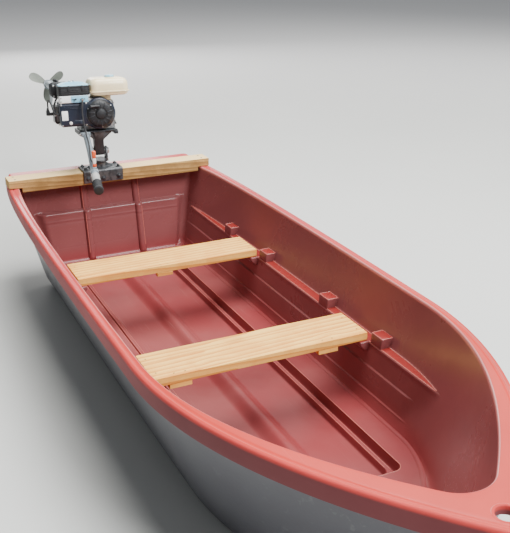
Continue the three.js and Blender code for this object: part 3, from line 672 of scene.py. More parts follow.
def sawn(bm, x, y, z, waver, soft):
    """A sawn board along Y whose faces waver a little."""
    cuts = max(2, round((y[1] - y[0]) / SAW_STEP))
    places = [(0, soft), (soft * 0.3, soft * 0.3), (soft, 0)]
    places = ([(y[0] + reach, inset) for reach, inset in places]
              + [(lerp(*y, i / cuts), 0) for i in range(1, cuts)]
              + [(y[1] - reach, inset) for reach, inset in reversed(places)])
    rings = []
    for at, inset in places:
        sway = waver * math.sin(at / 53 + x[0])
        lift = waver * 0.4 * math.sin(at / 90 + x[0] / 37)
        outline = rounded((x[0] + inset + sway, x[1] - inset + waver * math.sin(at / 71)),
                          (z[0] + inset, z[1] - inset + lift), soft, 3)
        rings.append(place_ring(outline, "Y", at))
    skin(bm, rings)


# Pieces

def to_mesh(name, bm, place):
    bmesh.ops.transform(bm, matrix=place, verts=bm.verts)
    mesh = bpy.data.meshes.new(name)
    bm.to_mesh(mesh)
    bm.free()
    return mesh


def make_piece(name, bm, place, body, look, replaces=(), sharp=32):
    """Turns a bmesh into a piece that rides on a body, with its place in its mesh."""
    bmesh.ops.remove_doubles(bm, verts=bm.verts, dist=MERGE)
    bmesh.ops.recalc_face_normals(bm, faces=bm.faces)
    limit = math.radians(sharp)
    for face in bm.faces:
        face.smooth = True
    for edge in bm.edges:
        if edge.is_manifold:
            edge.smooth = edge.calc_face_angle(0) < limit
    mesh = to_mesh(name, bm, place)
    mesh.materials.append(LOOK[look])
    piece = put(name, mesh)
    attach(piece, body)
    if replaces:
        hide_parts(*replaces)
    return piece


def build(place, body, name, look, stands_for, sharp, *shapes):
    """Makes a piece from shapes, each a function and its values. It stands for a node of
    the frame or for none, and its edges over an angle are sharp."""
    bm = bmesh.new()
    for shape, *values in shapes:
        shape(bm, *values)
    replaces = [stands_for] if stands_for else []
    return make_piece(name, bm, place, body, look, replaces, sharp)


on_boat = partial(build, BOAT, "root")
on_mount = partial(build, MOUNT, "root")
on_swivel = partial(build, SWIVEL, "swivel")
on_motor = partial(build, MOTOR, "motor")
on_engine = partial(build, ENGINE, "motor")
on_shaft = partial(build, MOTOR, "propeller")


def cut_away(piece, bm, place):
    """Cuts a closed shape out of a piece, for good."""
    bmesh.ops.recalc_face_normals(bm, faces=bm.faces)
    cutter = put("cutter", to_mesh("cutter", bm, place))
    change = piece.modifiers.new("cut", "BOOLEAN")
    change.operation = "DIFFERENCE"
    change.object = cutter
    change.solver = "EXACT"
    bpy.context.view_layer.update()
    seen = piece.evaluated_get(bpy.context.evaluated_depsgraph_get())
    result = bpy.data.meshes.new_from_object(seen)
    piece.modifiers.remove(change)
    piece.data = result
    bpy.data.objects.remove(cutter)


# The hull's driving sizes, as in the frame

GUNWALE_HEIGHT = 441
SKIRT_FOOT = 386
FLOOR_PANEL = 85
LEDGE_HEIGHT = 262
LEDGE_INNER = 352
LEDGE_FRONT = 2300
CORNER = 22
SIDE_BULGE = 12
RIB_AT = 116
RIB_RADIUS = 16
OPENING_TOP = 434
BOW_HOLE = (2622, 24)

# Plan outlines: the stern's X and half width, the X where the bow curve starts and the
# half width there, the bow's point and how blunt it is
Outline = namedtuple("Outline", "stern stern_half bow half tip nose")
GUNWALE = Outline(-90, 420, 1740, 464, 2706, 16)
OPENING = Outline(30, 388, 1745, 434, 2578, 68)
WALL = Outline(64, 350, 1735, 383, 2515, 74)
FLOOR_EDGE = Outline(104, 314, 1810, 314, 2405, 86)
FLOOR_LINE = Outline(126, 297, 1862, 301, 2312, 88)
HULL_TOP = Outline(-38, 404, 1730, 456, 2640, 100)
HULL_CHINE = Outline(102, 322, 1760, 316, 2470, 40)

ACROSS_STERN = [0, 30, 60, 85, 97, 99.5, 101, 103, 106, 110, 116, 122, 126, 129, 131, 132.5,
                135, 150, 180, 215, 250]
RIB_FLANK = ACROSS_STERN.index(126)
TO_CORNER = 9
CORNER_STEPS = 7
SIDE_STEPS = 60
BOW_STEPS = 40
NOSE_STEPS = 9
PANEL_END = len(ACROSS_STERN) + TO_CORNER - 1


def shares(count):
    return [i / count for i in range(1, count + 1)]


def grow(outline, by):
    return Outline(outline.stern - by, outline.stern_half + by, outline.bow, outline.half + by,
                   outline.tip + by * 1.35, outline.nose + by * 0.3)


def half_plan(outline):
    """X and Y of the port half of an outline, from the middle of the stern to the bow."""
    stern, stern_half, bow, half, tip, nose = outline
    edge = stern_half - CORNER
    across = ACROSS_STERN + [lerp(ACROSS_STERN[-1], edge, t) for t in shares(TO_CORNER)]
    points = [(stern, y) for y in across]
    points += arc([180 - 90 * t for t in shares(CORNER_STEPS)], CORNER, (stern + CORNER, edge))
    x0, y0 = points[-1]
    reach, bow_reach = bow - x0, tip - bow
    side = [Vector((x0, y0)), Vector((x0 + reach * 0.12, lerp(y0, half, 0.85))),
            Vector((x0 + reach * 0.4, half + SIDE_BULGE)), Vector((bow, half))]
    points += [bezier(side, t) for t in shares(SIDE_STEPS)]
    last = math.sqrt(1 - nose / half)
    points += [(bow + bow_reach * last * t, half * (1 - (last * t) ** 2)) for t in shares(BOW_STEPS)]
    slope = math.atan2(2 * half * last, bow_reach)
    radius = nose / math.cos(slope)
    centre = (bow + bow_reach * last - radius * math.sin(slope), 0)
    points += arc([math.degrees(math.pi / 2 - slope) * (1 - t) for t in shares(NOSE_STEPS)],
                  radius, centre)
    return [Vector(point) for point in points]


def whole_ring(half, heights):
    """The ring of both sides; heights is one height or one for each point."""
    if not isinstance(heights, list):
        heights = [heights] * len(half)
    port = [Vector((p.x, p.y, z)) for p, z in zip(half, heights)]
    return port + [Vector((p.x, -p.y, p.z)) for p in reversed(port[1:-1])]


def three_way(outlines, heights):
    """A function of height that gives the half plan curved through three outlines."""
    plans = [half_plan(o) for o in outlines]
    a, b, c = heights

    def at(z):
        wa = (z - b) * (z - c) / ((a - b) * (a - c))
        wb = (z - a) * (z - c) / ((b - a) * (b - c))
        wc = (z - a) * (z - b) / ((c - a) * (c - b))
        return [p * wa + q * wb + r * wc for p, q, r in zip(*plans)]
    return at


BOWL_LEVELS = (OPENING_TOP, LEDGE_HEIGHT, 97)
bowl = three_way((OPENING, WALL, FLOOR_EDGE), BOWL_LEVELS)
bowl_back = three_way((grow(OPENING, 5), grow(WALL, 4), grow(FLOOR_EDGE, 4)), BOWL_LEVELS)

# How far the lower transom panel stands forward at each height
PANEL_SHELF = [(303, 0), (301.2, 0.1), (300.6, 0.35), (300, 0.65), (299, 0.85), (297, 0.95),
               (293, 0.99), (287, 1)]

# The panel's top, the X of its face there and how far it leans forward on its way down
PANEL_TOP, PANEL_AT, PANEL_LEAN, PANEL_FADE = 288, 84, 0.177, 4

# The lower side wall's top and how far it leans in on its way down; then the top of each of
# its laps with the X where it ends, and how far a lap stands in
LOW_WALL_TOP, LOW_WALL_LEAN = 257, 0.17
LAPS, LAP_DEPTH = ((192, 1842), (122, 1872)), 4.5


def straight_side(x, z):
    """Half width of the straight lower side wall, with its two laps."""
    laps = sum(smoothstep(0, 1, (top - z) / 4) * smoothstep(end + 8, end - 8, x)
               for top, end in LAPS)
    return LEDGE_INNER - LOW_WALL_LEAN * (LOW_WALL_TOP - z) - LAP_DEPTH * laps


def soft_min(a, b, blend):
    near = max(blend - abs(a - b), 0) / blend
    return min(a, b) - near * near * blend / 4


def stern_forms(half, z, shelf):
    """Adds the lower panel and the upright ribs to the inside of the transom."""
    made = []
    for i, point in enumerate(half):
        push = 0.0
        if i <= PANEL_END and shelf > 0:
            front = PANEL_AT + (PANEL_TOP - min(z, PANEL_TOP)) * PANEL_LEAN
            push = max(0.0, front - point.x) * shelf * smoothstep(0, PANEL_FADE, PANEL_END - i)
        if i < len(ACROSS_STERN):
            away = abs(point.y - RIB_AT)
            rib = math.sqrt(max(0.0, RIB_RADIUS ** 2 - away ** 2))
            push += rib * smoothstep(OPENING_TOP, 405, z)
        made.append(Vector((point.x + push, point.y)))
    return made


def liner_wall(z, shelf=1):
    half = bowl(z)
    if z <= LOW_WALL_TOP:
        half = [Vector((p.x, soft_min(p.y, straight_side(p.x, z), 5))) for p in half]
    return stern_forms(half, z, shelf)


def ledge_rings():
    """The rings from the wall's foot over the ledge and round its inner edge."""
    widths = [max(0.0, p.y - LEDGE_INNER) if p.x < LEDGE_FRONT else 0.0
              for p in bowl(LEDGE_HEIGHT)]
    rings = []

    def add(z, reach):
        half = [Vector((p.x, p.y - reach(min(5.0, width / 2.2), width)))
                for p, width in zip(bowl(z), widths)]
        rings.append(whole_ring(stern_forms(half, LEDGE_HEIGHT, 1), z))

    for c, s in arc((20, 45, 70, 90), 1):
        add(LEDGE_HEIGHT + 5 * (1 - s), lambda soft, width: soft * (1 - c))
    add(LEDGE_HEIGHT - 0.1, lambda soft, width: width / 2)
    for c, s in arc((0, 25, 50, 75, 90), 1):
        add(LEDGE_HEIGHT - 0.2 - 5 * (1 - c), lambda soft, width: width - soft * (1 - s))
    return rings


def inward(half):
    """Unit vectors into the boat along a half plan."""
    runs = [after - before for before, after in zip(half, half[2:])]
    return [Vector((1, 0)), *[Vector((run.y, -run.x)).normalized() for run in runs],
            Vector((-1, 0))]


# The hollow foot of the walls: its least width, how high it starts up the wall, and how far
# its middle stands over the floor; the floor plate reaches under it
FOOT_STEPS = 10
FOOT_LEAST, FOOT_TOP, FOOT_RISE, FOOT_LIP = 12.0, 115, 0.9, 0.24
FLOOR_TUCK = 2
FLOOR_UNDER = 38


def foot_rings(line):
    """The hollow curve from the walls into the floor, then down under the floor plate."""
    corner = liner_wall(FLOOR_PANEL + 5)
    reaches = [max(FOOT_LEAST, (p - q).length) for p, q in zip(line, corner)]
    levels = [min(FOOT_TOP, round(FLOOR_PANEL + FOOT_RISE * reach + 8)) for reach in reaches]
    walls = {z: liner_wall(z) for z in set(levels)}
    rings = []
    for t in [step / FOOT_STEPS for step in range(FOOT_STEPS + 1)]:
        half = [bezier([walls[level][i], corner[i], line[i]], t) for i, level in enumerate(levels)]
        heights = [bezier([level, FLOOR_PANEL + FOOT_LIP * reach, FLOOR_PANEL], t)
                   for level, reach in zip(levels, reaches)]
        rings.append(whole_ring(half, heights))
    tuck = [p + n * FLOOR_TUCK for p, n in zip(line, inward(line))]
    return [*rings, whole_ring(tuck, FLOOR_PANEL - 3), whole_ring(tuck, 40)]


def gunwale_rings():
    """Outside of the skirt, the rolled edge, the flat flange and the opening's edge."""
    profile = [(6, 423), (6, 392), (5.4, 388), (3, SKIRT_FOOT), (0.6, 388), (0, 392), (0, 405),
               (0, 420)]
    profile += [(8.5 - x, 432.5 + y) for x, y in arc((0, 18, 36, 54, 72, 90, 108, 124), 8.5)]
    profile += [(16, 439.0), (19, 439.2), (22.5, 440.4)]
    rings = [whole_ring(half_plan(grow(GUNWALE, -depth)), z) for depth, z in profile]
    outer, inner = half_plan(grow(GUNWALE, -23.5)), half_plan(grow(OPENING, 6))
    for t in (0, 0.25, 0.5, 0.75, 1):
        half = [p.lerp(q, t) for p, q in zip(outer, inner)]
        rings.append(whole_ring(half, GUNWALE_HEIGHT - 0.4 + 0.4 * t))
    for c, s in arc((20, 40, 60, 80), 1):
        rings.append(whole_ring(half_plan(grow(OPENING, 6 - 6 * s)), GUNWALE_HEIGHT - 7 * (1 - c)))
    return rings


# Heights of the rings down the walls to the ledge, each with how far the transom panel
# stands forward there; then those under the ledge
WALL_LEVELS = [(z, 0) for z in (434, 428, 418, 405, 385, 360, 335, 318, 308)]
WALL_LEVELS += [*PANEL_SHELF, (280, 1), (273, 1), (267, 1)]
LOW_LEVELS = (252, 240, 225, 210, 198, 194, 192, 191, 190, 189, 188, 186, 178, 163, 148, 135,
              127, 124, 122, 121, 120, 119, 118, 117)


def make_liner(floor_line):
    rings = [whole_ring(half_plan(grow(FLOOR_EDGE, -18)), 28)]
    rings += [whole_ring(bowl_back(z), z) for z in (73, 120, 180, 240, 300, 360, 423)]
    rings += gunwale_rings()
    rings += [whole_ring(liner_wall(z, shelf), z) for z, shelf in WALL_LEVELS]
    rings += ledge_rings()
    rings += [whole_ring(liner_wall(z), z) for z in LOW_LEVELS]
    rings += foot_rings(floor_line)
    liner = on_boat("liner_moulding", "terracotta", "deck_liner", 40, (skin, rings))
    hole = bmesh.new()
    x, radius = BOW_HOLE
    rod(hole, (x, 0, 415), (x, 0, 450), radius + 3, 64)
    cut_away(liner, hole, BOAT)


def make_bow_eye():
    """The rounded rim of the tow rope hole."""
    x, radius = BOW_HOLE
    profile = [(0, radius + 5), (0, radius + 1), *[(z, radius - 0.5) for z in (0, 4.5, 9, 13.5)],
               *[(17.2 + b, radius + 4 + a) for a, b in arc(range(180, -1, -20), 4.6)],
               (0, radius + 5)]
    on_boat("bow_eye", "terracotta", None, 32, (lathe, profile, (x, 0, 420), Z, 64))


# The floor's channels: a rounded recess in the raised side panels; in it a groove along
# each side, the lower well, and a rounded keel ridge down the middle of the well
RECESS = {"rear": 160, "front": 2004, "half": 221, "corner": 28, "drop": 20, "wall": 5}
GROOVE = {"rear": 180, "front": 1976, "middle": 210, "drop": 11}
WELL = {"rear": 176, "front": 1990, "half": 189, "corner": 34, "drop": 20, "wall": 6}
KEEL = {"rear": 240, "front": 1930, "half": 46, "rise": 24}


def sunk(x, y, place):
    """The depth of a rounded rectangular recess at a point."""
    corner = place["corner"]
    middle = (place["rear"] + place["front"]) / 2
    dx = abs(x - middle) - ((place["front"] - place["rear"]) / 2 - corner)
    dy = abs(y) - (place["half"] - corner)
    inside = corner - math.hypot(max(dx, 0), max(dy, 0)) - min(max(dx, dy), 0)
    return place["drop"] * smoothstep(-1, place["wall"], inside)


def floor_height(x, y):
    beyond = max(GROOVE["rear"] - x, x - GROOVE["front"], 0)
    off = math.hypot(beyond, abs(y) - GROOVE["middle"])
    groove = GROOVE["drop"] * (1 - smoothstep(3, 9, off))
    past = max(KEEL["rear"] - x, x - KEEL["front"], 0)
    away = math.hypot(past * 0.6, y) / KEEL["half"]
    keel = KEEL["rise"] * (1 - smoothstep(0.08, 1, away))
    return FLOOR_PANEL - sunk(x, y, RECESS) - sunk(x, y, WELL) - groove + keel


def stations(spans):
    """Values over spans given as their ends and a step, each span's end left to the next."""
    made = []
    for low, high, step in spans:
        count = max(1, round((high - low) / step))
        made += [low + (high - low) * i / count for i in range(count)]
    return [*made, spans[-1][1]]


def make_floor(floor_line):
    """The floor plate, under the foot of the walls all round."""
    side = [(p.x, p.y) for p in floor_line[PANEL_END:]]
    rear, front = floor_line[0].x - 5, floor_line[-1].x + 5

    def half_width(x):
        for (x0, y0), (x1, y1) in zip(side, side[1:]):
            if x0 <= x <= x1 and x1 > x0:
                return lerp(y0, y1, (x - x0) / (x1 - x0)) + FLOOR_TUCK
        return FLOOR_TUCK + (side[0][1] if x < side[0][0] else 0)

    xs = stations([(rear, 150, 8), (150, 222, 2.5), (222, 290, 8), (290, 1890, 22),
                   (1890, 1950, 6), (1950, 2012, 2.2), (2012, front, 6)])
    port = stations([(0, 48, 4), (48, 170, 15), (170, 184, 3), (184, 192, 1.1),
                     (192, 201, 2.4), (201, 223, 1.1), (223, 330, 8)])
    rows = []
    for x in xs:
        limit = half_width(x)
        ys = [min(limit, max(-limit, y)) for y in [-y for y in reversed(port[1:])] + port]
        rows.append([(x, y, floor_height(x, y)) for y in ys])
    bm = bmesh.new()
    grid(bm, rows)
    lowered = bmesh.ops.extrude_edge_only(bm, edges=[e for e in bm.edges if e.is_boundary])["geom"]
    for vert in [v for v in lowered if isinstance(v, bmesh.types.BMVert)]:
        vert.co.z = FLOOR_UNDER
    bmesh.ops.holes_fill(bm, edges=[e for e in bm.edges if e.is_boundary], sides=0)
    make_piece("floor_moulding", bm, BOAT, "root", "terracotta", sharp=50)


def make_highlight_lines_and_rim(floor_line):
    """Thin pale tubes that paint highlight lines down the outer flank of each transom rib, along
    the ledges, round the floor's recess and along the ridge beside each groove; and a soft
    round rim along the foot of the walls round the floor panel."""
    ledge = [p for p in bowl(LEDGE_HEIGHT)[PANEL_END:]
             if p.x < LEDGE_FRONT and p.y > LEDGE_INNER + 2]
    ridge_top = FLOOR_PANEL - RECESS["drop"] - 0.2
    # Painted highlight: a pale line down the outer flank of each transom rib.
    flank = [(z, liner_wall(z, 0 if z > 303 else 1)[RIB_FLANK])
             for z in (404, 380, 340, 306, 286, 262, 220, 180, 140, 118)]
    lines = [
        (1.5, [(p.x, p.y, z) for z, p in flank]),
        (1.8, [(p.x, p.y - 1, LEDGE_HEIGHT + 0.4) for p in ledge]),
        (1.6, [(p.x, LEDGE_INNER + 2, LEDGE_HEIGHT - 1.6) for p in ledge]),
        (1.2, [(x, 190.4, ridge_top) for x in (214, 1952)]),
        (1.2, [(x, 200.8, ridge_top) for x in (190, 1966)])]
    rim = rounded((RECESS["rear"], RECESS["front"]), (-RECESS["half"], RECESS["half"]),
                  RECESS["corner"])
    on_boat("moulded_lines", "moulded_line", None, 32,
            *[(tube, [(x, side * y, z) for x, y, z in line], radius, 8, 1)
              for side in SIDES for radius, line in lines],
            (line_at, rim, FLOOR_PANEL - 0.6, 1.3))
    foot = floor_line[PANEL_END + CORNER_STEPS:]
    on_boat("floor_rim", "terracotta", None, 32,
            *[(tube, [(p.x, side * p.y, FLOOR_PANEL - 10) for p in foot], 14, 24, 1)
              for side in SIDES])


# Behind the timber the moulding has a raised edge, with a hollow foot and a round top
RIM_X, RIM_HALF, RIM_TOP = (-80, 22), 408, 455
RIM_RINGS = ((-5, 24), (-5, 15.4), (-1.8, 13), (0, 9.5), (0, 6), (1.6, 2.6), (4.4, 0.7), (8, 0))


def make_stern_rim():
    rings = [(inset, RIM_TOP - drop) for inset, drop in RIM_RINGS]
    on_boat("stern_rim", "terracotta", None, 32,
            (layers, RIM_X, (-RIM_HALF, RIM_HALF), rings, lambda inset: CORNER - inset, 8))


THWARTS = (1515, 725)
PLANK_DEPTH, PLANK_TOP = 160, 289.4
BLOCK = {"length": 60, "top": 294, "before": 12, "behind": 96}
SCREW_HALF = 331


def wall_half_width(x, z):
    return min(bowl(z), key=lambda p: abs(p.x - x) if p.y > 300 else 1e6).y


def make_seats():
    """Blocks on the ledges before and behind each thwart, and the pads under its ends; pale lines round
    the block tops paint their edge highlights.
    """
    blocks, lines = [], []
    for centre in THWARTS:
        front = centre + PLANK_DEPTH / 2 + BLOCK["before"]
        rear = centre - PLANK_DEPTH / 2 - BLOCK["behind"] - BLOCK["length"]
        wall = wall_half_width(centre, 280)
        section = [(LEDGE_INNER - 1, LEDGE_HEIGHT - 12), (LEDGE_INNER + 3, BLOCK["top"]),
                   (wall + 6, BLOCK["top"]), (wall + 1, LEDGE_HEIGHT - 12)]
        pad = [(345, 228), (333, 235), (LEDGE_INNER - 31, 248), (LEDGE_INNER - 31, LEDGE_HEIGHT),
               (wall - 2, LEDGE_HEIGHT), (LEDGE_INNER + 2, 228)]
        for side in SIDES:
            mirrored = [[(y * side, z) for y, z in outline] for outline in (section, pad)]
            for start in (rear, front):
                end = start + BLOCK["length"]
                blocks.append((prism, mirrored[0], "X", start, end, 4, 3))
                across = sorted((side * (LEDGE_INNER + 5), side * (wall + 4)))
                # Painted highlight: a pale line round each block's top.
                lines.append((line_at, rounded((start + 2, end - 2), across, 3),
                              BLOCK["top"] - 1, 1.5))
            blocks.append((prism, mirrored[1], "X", centre - 62, centre + 88, 5, 3))
    on_boat("seat_blocks", "terracotta", None, 32, *blocks)
    on_boat("seat_lines", "moulded_line", None, 32, *lines)


# The outer moulding's edge under the gunwale, the height where its chine outline lies, how
# much its sides swell, where the round chine starts and the corner that it rounds
HULL_EDGE, HULL_FOOT, HULL_SWELL, CHINE_START, CHINE_CORNER = 428, 34, 3.5, 52, 6


def make_hull():
    """The outer moulding, from under the gunwale round the chine to the flat bottom."""
    top, chine = half_plan(HULL_TOP), half_plan(HULL_CHINE)
    bottom = half_plan(grow(HULL_CHINE, -40))

    def side(z):
        t = (z - HULL_FOOT) / (HULL_EDGE - HULL_FOOT)
        swell = HULL_SWELL * math.sin(math.pi * min(1, max(0, t)))
        made = [p.lerp(q, t) for p, q in zip(chine, top)]
        return [Vector((p.x, p.y + swell * smoothstep(0, 60, p.y))) for p in made]

    rings = [whole_ring(half_plan(outline), z) for outline, z in (
        (grow(HULL_CHINE, -48), 8), (grow(HULL_CHINE, -8), 60), (grow(HULL_TOP, -6), HULL_EDGE - 1))]
    rings += [whole_ring(side(z), z)
              for z in (HULL_EDGE, 400, 380, 350, 310, 260, 210, 160, 120, 90, 66)]
    start, corner = side(CHINE_START), side(CHINE_CORNER)
    for t in [step / 10 for step in range(11)]:
        half = [bezier(points, t) for points in zip(start, corner, bottom)]
        rings.append(whole_ring(half, bezier([CHINE_START, CHINE_CORNER * 0.2, 0], t)))
    on_boat("hull_moulding", "hull_grey", "hull_shell", 40, (skin, rings))


# Timber and the motor's mount

def boat_box(name):
    """A frame node's box as pairs of X, Y and Z in the boat's millimetres."""
    low, high = (BOAT.inverted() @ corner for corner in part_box(name))
    return tuple(zip(low, high))


def make_thwarts():
    screws = []
    for names, waver, soft in ((("front_thwart", "rear_thwart"), 0.7, 1.8),
                               (("front_batten_starboard", "front_batten_port", "rear_batten"),
                                0.3, 1.2)):
        for name in names:
            x, y, z = boat_box(name)
            on_boat(name + "_board", "pine", name, 25, (sawn, x, y, z, waver, soft))
            if "batten" in name:
                screws += [(lerp(*x, 0.45), lerp(*y, share)) for share in (0.25, 0.75)]
    screws += [(x + offset, side * SCREW_HALF) for x in THWARTS for side in SIDES for offset in (-45, 45)]
    on_boat("thwart_screws", "brass", None, 32,
            *[(screw, (x, y, PLANK_TOP - 0.1), 6) for x, y in screws])


BEAM_X, BEAM_HALF, BEAM_LAP = (43, 123), 440, 388
BEAM_TOP, BEAM_LOW, BEAM_ON_GUNWALE = 476, 422, 441.4


def make_transom_beam():
    half = [(BEAM_LAP, BEAM_LOW), (BEAM_LAP, BEAM_ON_GUNWALE), (BEAM_HALF, BEAM_ON_GUNWALE),
            (BEAM_HALF, BEAM_TOP)]
    outline = [(-y, z) for y, z in reversed(half[:3])] + half + [(-BEAM_HALF, BEAM_TOP)]
    on_boat("transom_timber", "old_timber", "transom_beam", 30,
            (prism, outline, "X", *BEAM_X, 2.6, 3))
    on_boat("timber_screws", "dark_steel", None, 32,
            *[(screw, (x, side * 411, BEAM_TOP - 0.2), 10) for side in SIDES for x in (62, 104)])


PLATE_TOP = 484.4
SLEEVE_TOP = 508.4
PLATE_FRONT = 131.4


def make_mount_bracket():
    front, inner = PLATE_FRONT, PLATE_FRONT - 8
    plate = [(41, 476.4), (inner, 476.4), (inner, 430), (front, 430),
             *arc(range(0, 91, 15), 9, (front - 9, PLATE_TOP - 9)), (41, PLATE_TOP)]
    sleeve = [(479, 13.2), (479, 24), (SLEEVE_TOP - 2, 24), (SLEEVE_TOP - 0.4, 22.6),
              (SLEEVE_TOP, 21), (SLEEVE_TOP, 14.6), (SLEEVE_TOP - 1.4, 13.2), (479, 13.2)]
    shapes = [(prism, plate, "Y", -85, 85, 1.2), (lathe, sleeve, (PIVOT.x, 0, 0), Z, 48),
              (ring_bead, (PIVOT.x, 0, PLATE_TOP + 0.6), 25.2, 2.4)]
    for side in SIDES:
        gusset = [(side * 23, PLATE_TOP - 1), (side * 62, PLATE_TOP - 1),
                  (side * 58, PLATE_TOP + 2), (side * 23, SLEEVE_TOP - 5)]
        shapes.append((prism, gusset, "X", PIVOT.x - 3, PIVOT.x + 3, 0.8))
        shapes += [(bead, [(PIVOT.x + x, side * y, PLATE_TOP + 0.3) for y in (27, 40, 60)], 1.6)
                   for x in (3.2, -3.2)]
    on_mount("mount_plate", "dark_steel", "mount_bracket", 30, *shapes)
    bolts = []
    for side in SIDES:
        bolts += [(bolt, (x, side * 71, PLATE_TOP), Z, 13) for x in (56, 110)]
        bolts.append((bolt, (front, side * 66, 450), X, 14))
    on_mount("mount_bolts", "dark_steel", None, 32, *bolts, (bolt, (front, 0, 446), X, 14))


def make_swivel():
    """The fork that turns in the bracket's sleeve, and the cross pin in its cheeks."""
    base = SLEEVE_TOP + 1 - PIVOT.z
    cheek = [(-26, base + 2), *arc(range(152, 31, -12), 20), (26, base + 2)]
    shapes = [(lathe, [(base, 0), (base, 34.6), (base + 1.4, 36), (base + 7.6, 36),
                       (base + 9, 34.6), (base + 9, 0)], (0, 0, 0), Z, 56),
              (rod, (0, 0, -73), (0, 0, base + 4), 12.5, 32, 1)]
    for y in ((25, 33), (-33, -25)):
        shapes.append((prism, cheek, "Y", *y, 1.0))
        shapes += [(bead, [(x, edge, base + 9.4) for x in (-22, -8, 8, 22)], 1.7)
                   for edge in (y[0] - 0.4, y[1] + 0.4)]
    nipple = [(rod, (x0, 0, base + 4.5), (x1, 0, base + 4.5), radius, 12, soft)
              for x0, x1, radius, soft in ((35, 42, 2.6, 0.5), (41, 46, 1.7, 0.4))]
    on_swivel("swivel_yoke", "dark_steel", "swivel_fork", 30, *shapes, *nipple)
    on_swivel("cross_pin", "bright_alloy", "tilt_pin", 32,
              (rod, (0, -47, 0), (0, 40, 0), 8, 32, 0.8),
              *[(rod, (0, y0, 0), (0, y1, 0), radius, sides, 0.7) for y0, y1, radius, sides in (
                  (33.3, 35, 15, 32), (35, 41, 13, 6), (-35, -33.3, 15, 32), (-41, -35, 13, 6))],
              (tube, [(0, -44.5, 12), (0, -44.5, -9), (2.5, -44.5, -13)], 1.2, 8, 4),
              (tube, [(0.6, -44.5, 12), (0.8, -44.5, -9), (-2.5, -44.5, -13)], 1.2, 8, 4))


# The engine's drawing: the crankshaft lies along X at height CRANK. The tail's axis and the
# cradle are in the motor's frame

CRANK = 128
CRANK_Y = 8
CRANK_AT = (CRANK_Y, CRANK)
CRANK_LINE = (0, CRANK_Y, CRANK)
FAN_RADIUS = 82
ENGINE_FOOT = 38
ENGINE_TOP = 190.4
CASE_SIDE = 90.4
CRADLE_TOP = 90.4
TAIL_Y = CRANK_Y * ENGINE_SHARE + ENGINE_AT.y
TAIL_Z = CRANK * ENGINE_SHARE + ENGINE_AT.z
TAIL_AT = (TAIL_Y, TAIL_Z)
TAIL_LINE = (0, TAIL_Y, TAIL_Z)


def make_cradle():
    """The tray under the engine, on the pedestal that the cross pin goes through."""
    top = CRADLE_TOP
    shapes = [(soft_box, (-112, 40), (-80, 80), (top - 6, top), 8, 1.2)]
    for y in ((-80, -64), (64, 80)):
        shapes.append((soft_box, (-108, 46), y, (top - 18, top - 5), 3, 1.5))
        shapes += [(bead, [(x + run, y[0] + 1, top - 6.6) for run in (-14, 0, 14)], 1.4)
                   for x in (-86, -40, 10)]
    lug = [(-44, top - 4), (44, top - 4), (20, top - 50), (16, -10), (8, -17), (-8, -17),
           (-16, -10), (-20, top - 50)]
    shapes.append((prism, lug, "Y", -20, 20, 1.5))
    for side in SIDES:
        gusset = [(side * 19, top - 5), (side * 60, top - 5), (side * 56, top - 10),
                  (side * 19, top - 40)]
        shapes.append((bead, [(x, side * 20.5, top - 6.4) for x in (-42, -14, 14, 42)], 2))
        shapes += [(prism, gusset, "X", x - 2.5, x + 2.5, 0.8) for x in (-26, 26)]
    on_motor("motor_tray", "dark_steel", "cradle", 30, *shapes,
             (rod, (0, -23, 0), (0, 23, 0), 14, 36, 1))


def make_crankcase():
    vents = [(-72, 60), (-77, 64), (-77, 74), (-72, 76)]
    on_engine(
        "engine_block", "cast_alloy", "crankcase", 30,
        (soft_box, (-150, 8), (-74, 90), (ENGINE_FOOT + 0.4, 190), 16, 7),
        (soft_box, (-146, 4), (-90, 92), (ENGINE_FOOT + 0.4, ENGINE_FOOT + 15), 10, 2.5),
        *[(prism, [(88, 56), (91.6, 60), (91.6, 176), (88, 182)], "X", x, x + 3.2, 0.8)
          for x in range(-128, 0, 18)],
        (prism, rounded((-140, -2), (60, 182), 22), "Y", 86, 90.6, 1.6),
        (rod, (-72, 88, 120), (-72, 93.4, 120), 40, 56, 1.6),
        (rod, (-72, 92, 120), (-72, 96, 120), 24, 48, 1.4, 22),
        *[(prism, vents, "X", x, x + 4, 0.8) for x in (-96, -70, -44)])
    on_engine(
        "oil_cap", "black_plastic", None, 32,
        (lathe, [(0, 0), (0, 11), (2, 12.5), (6, 12.5), (7.6, 11.4), (7.6, 0)],
         (-20, CASE_SIDE, 66), (0, 1, 1.2), 24),
        (prism, [(-28, 70), (-12, 70), (-13, 79), (-27, 79)], "Y", 94, 98, 1.2))


def make_cylinder():
    fins = [(-178 + i * 8.6, 20 - 1.2 * math.sin(i * 0.6)) for i in range(11)]
    on_engine(
        "cylinder_barrel", "cast_alloy", "cylinder", 30,
        (soft_box, (-122, -14), (-182, -74.4), (76, 178), 14, 3),
        *[(prism, rounded((-134, -2), (66, 188), corner), "Y", y, y + 2.4, 0.7)
          for y, corner in fins])
    on_engine(
        "valve_lid", "cast_alloy", "valve_cover", 30,
        (soft_box, (-122, -14), (76, 178), (-188, -182.4), 12, 1, "Y"),
        (soft_box, (-118, -18), (80, 174), (-214, -186), 14, 8, "Y"),
        (soft_box, (-96, -40), (108, 146), (-215.2, -212), 6, 1, "Y"))


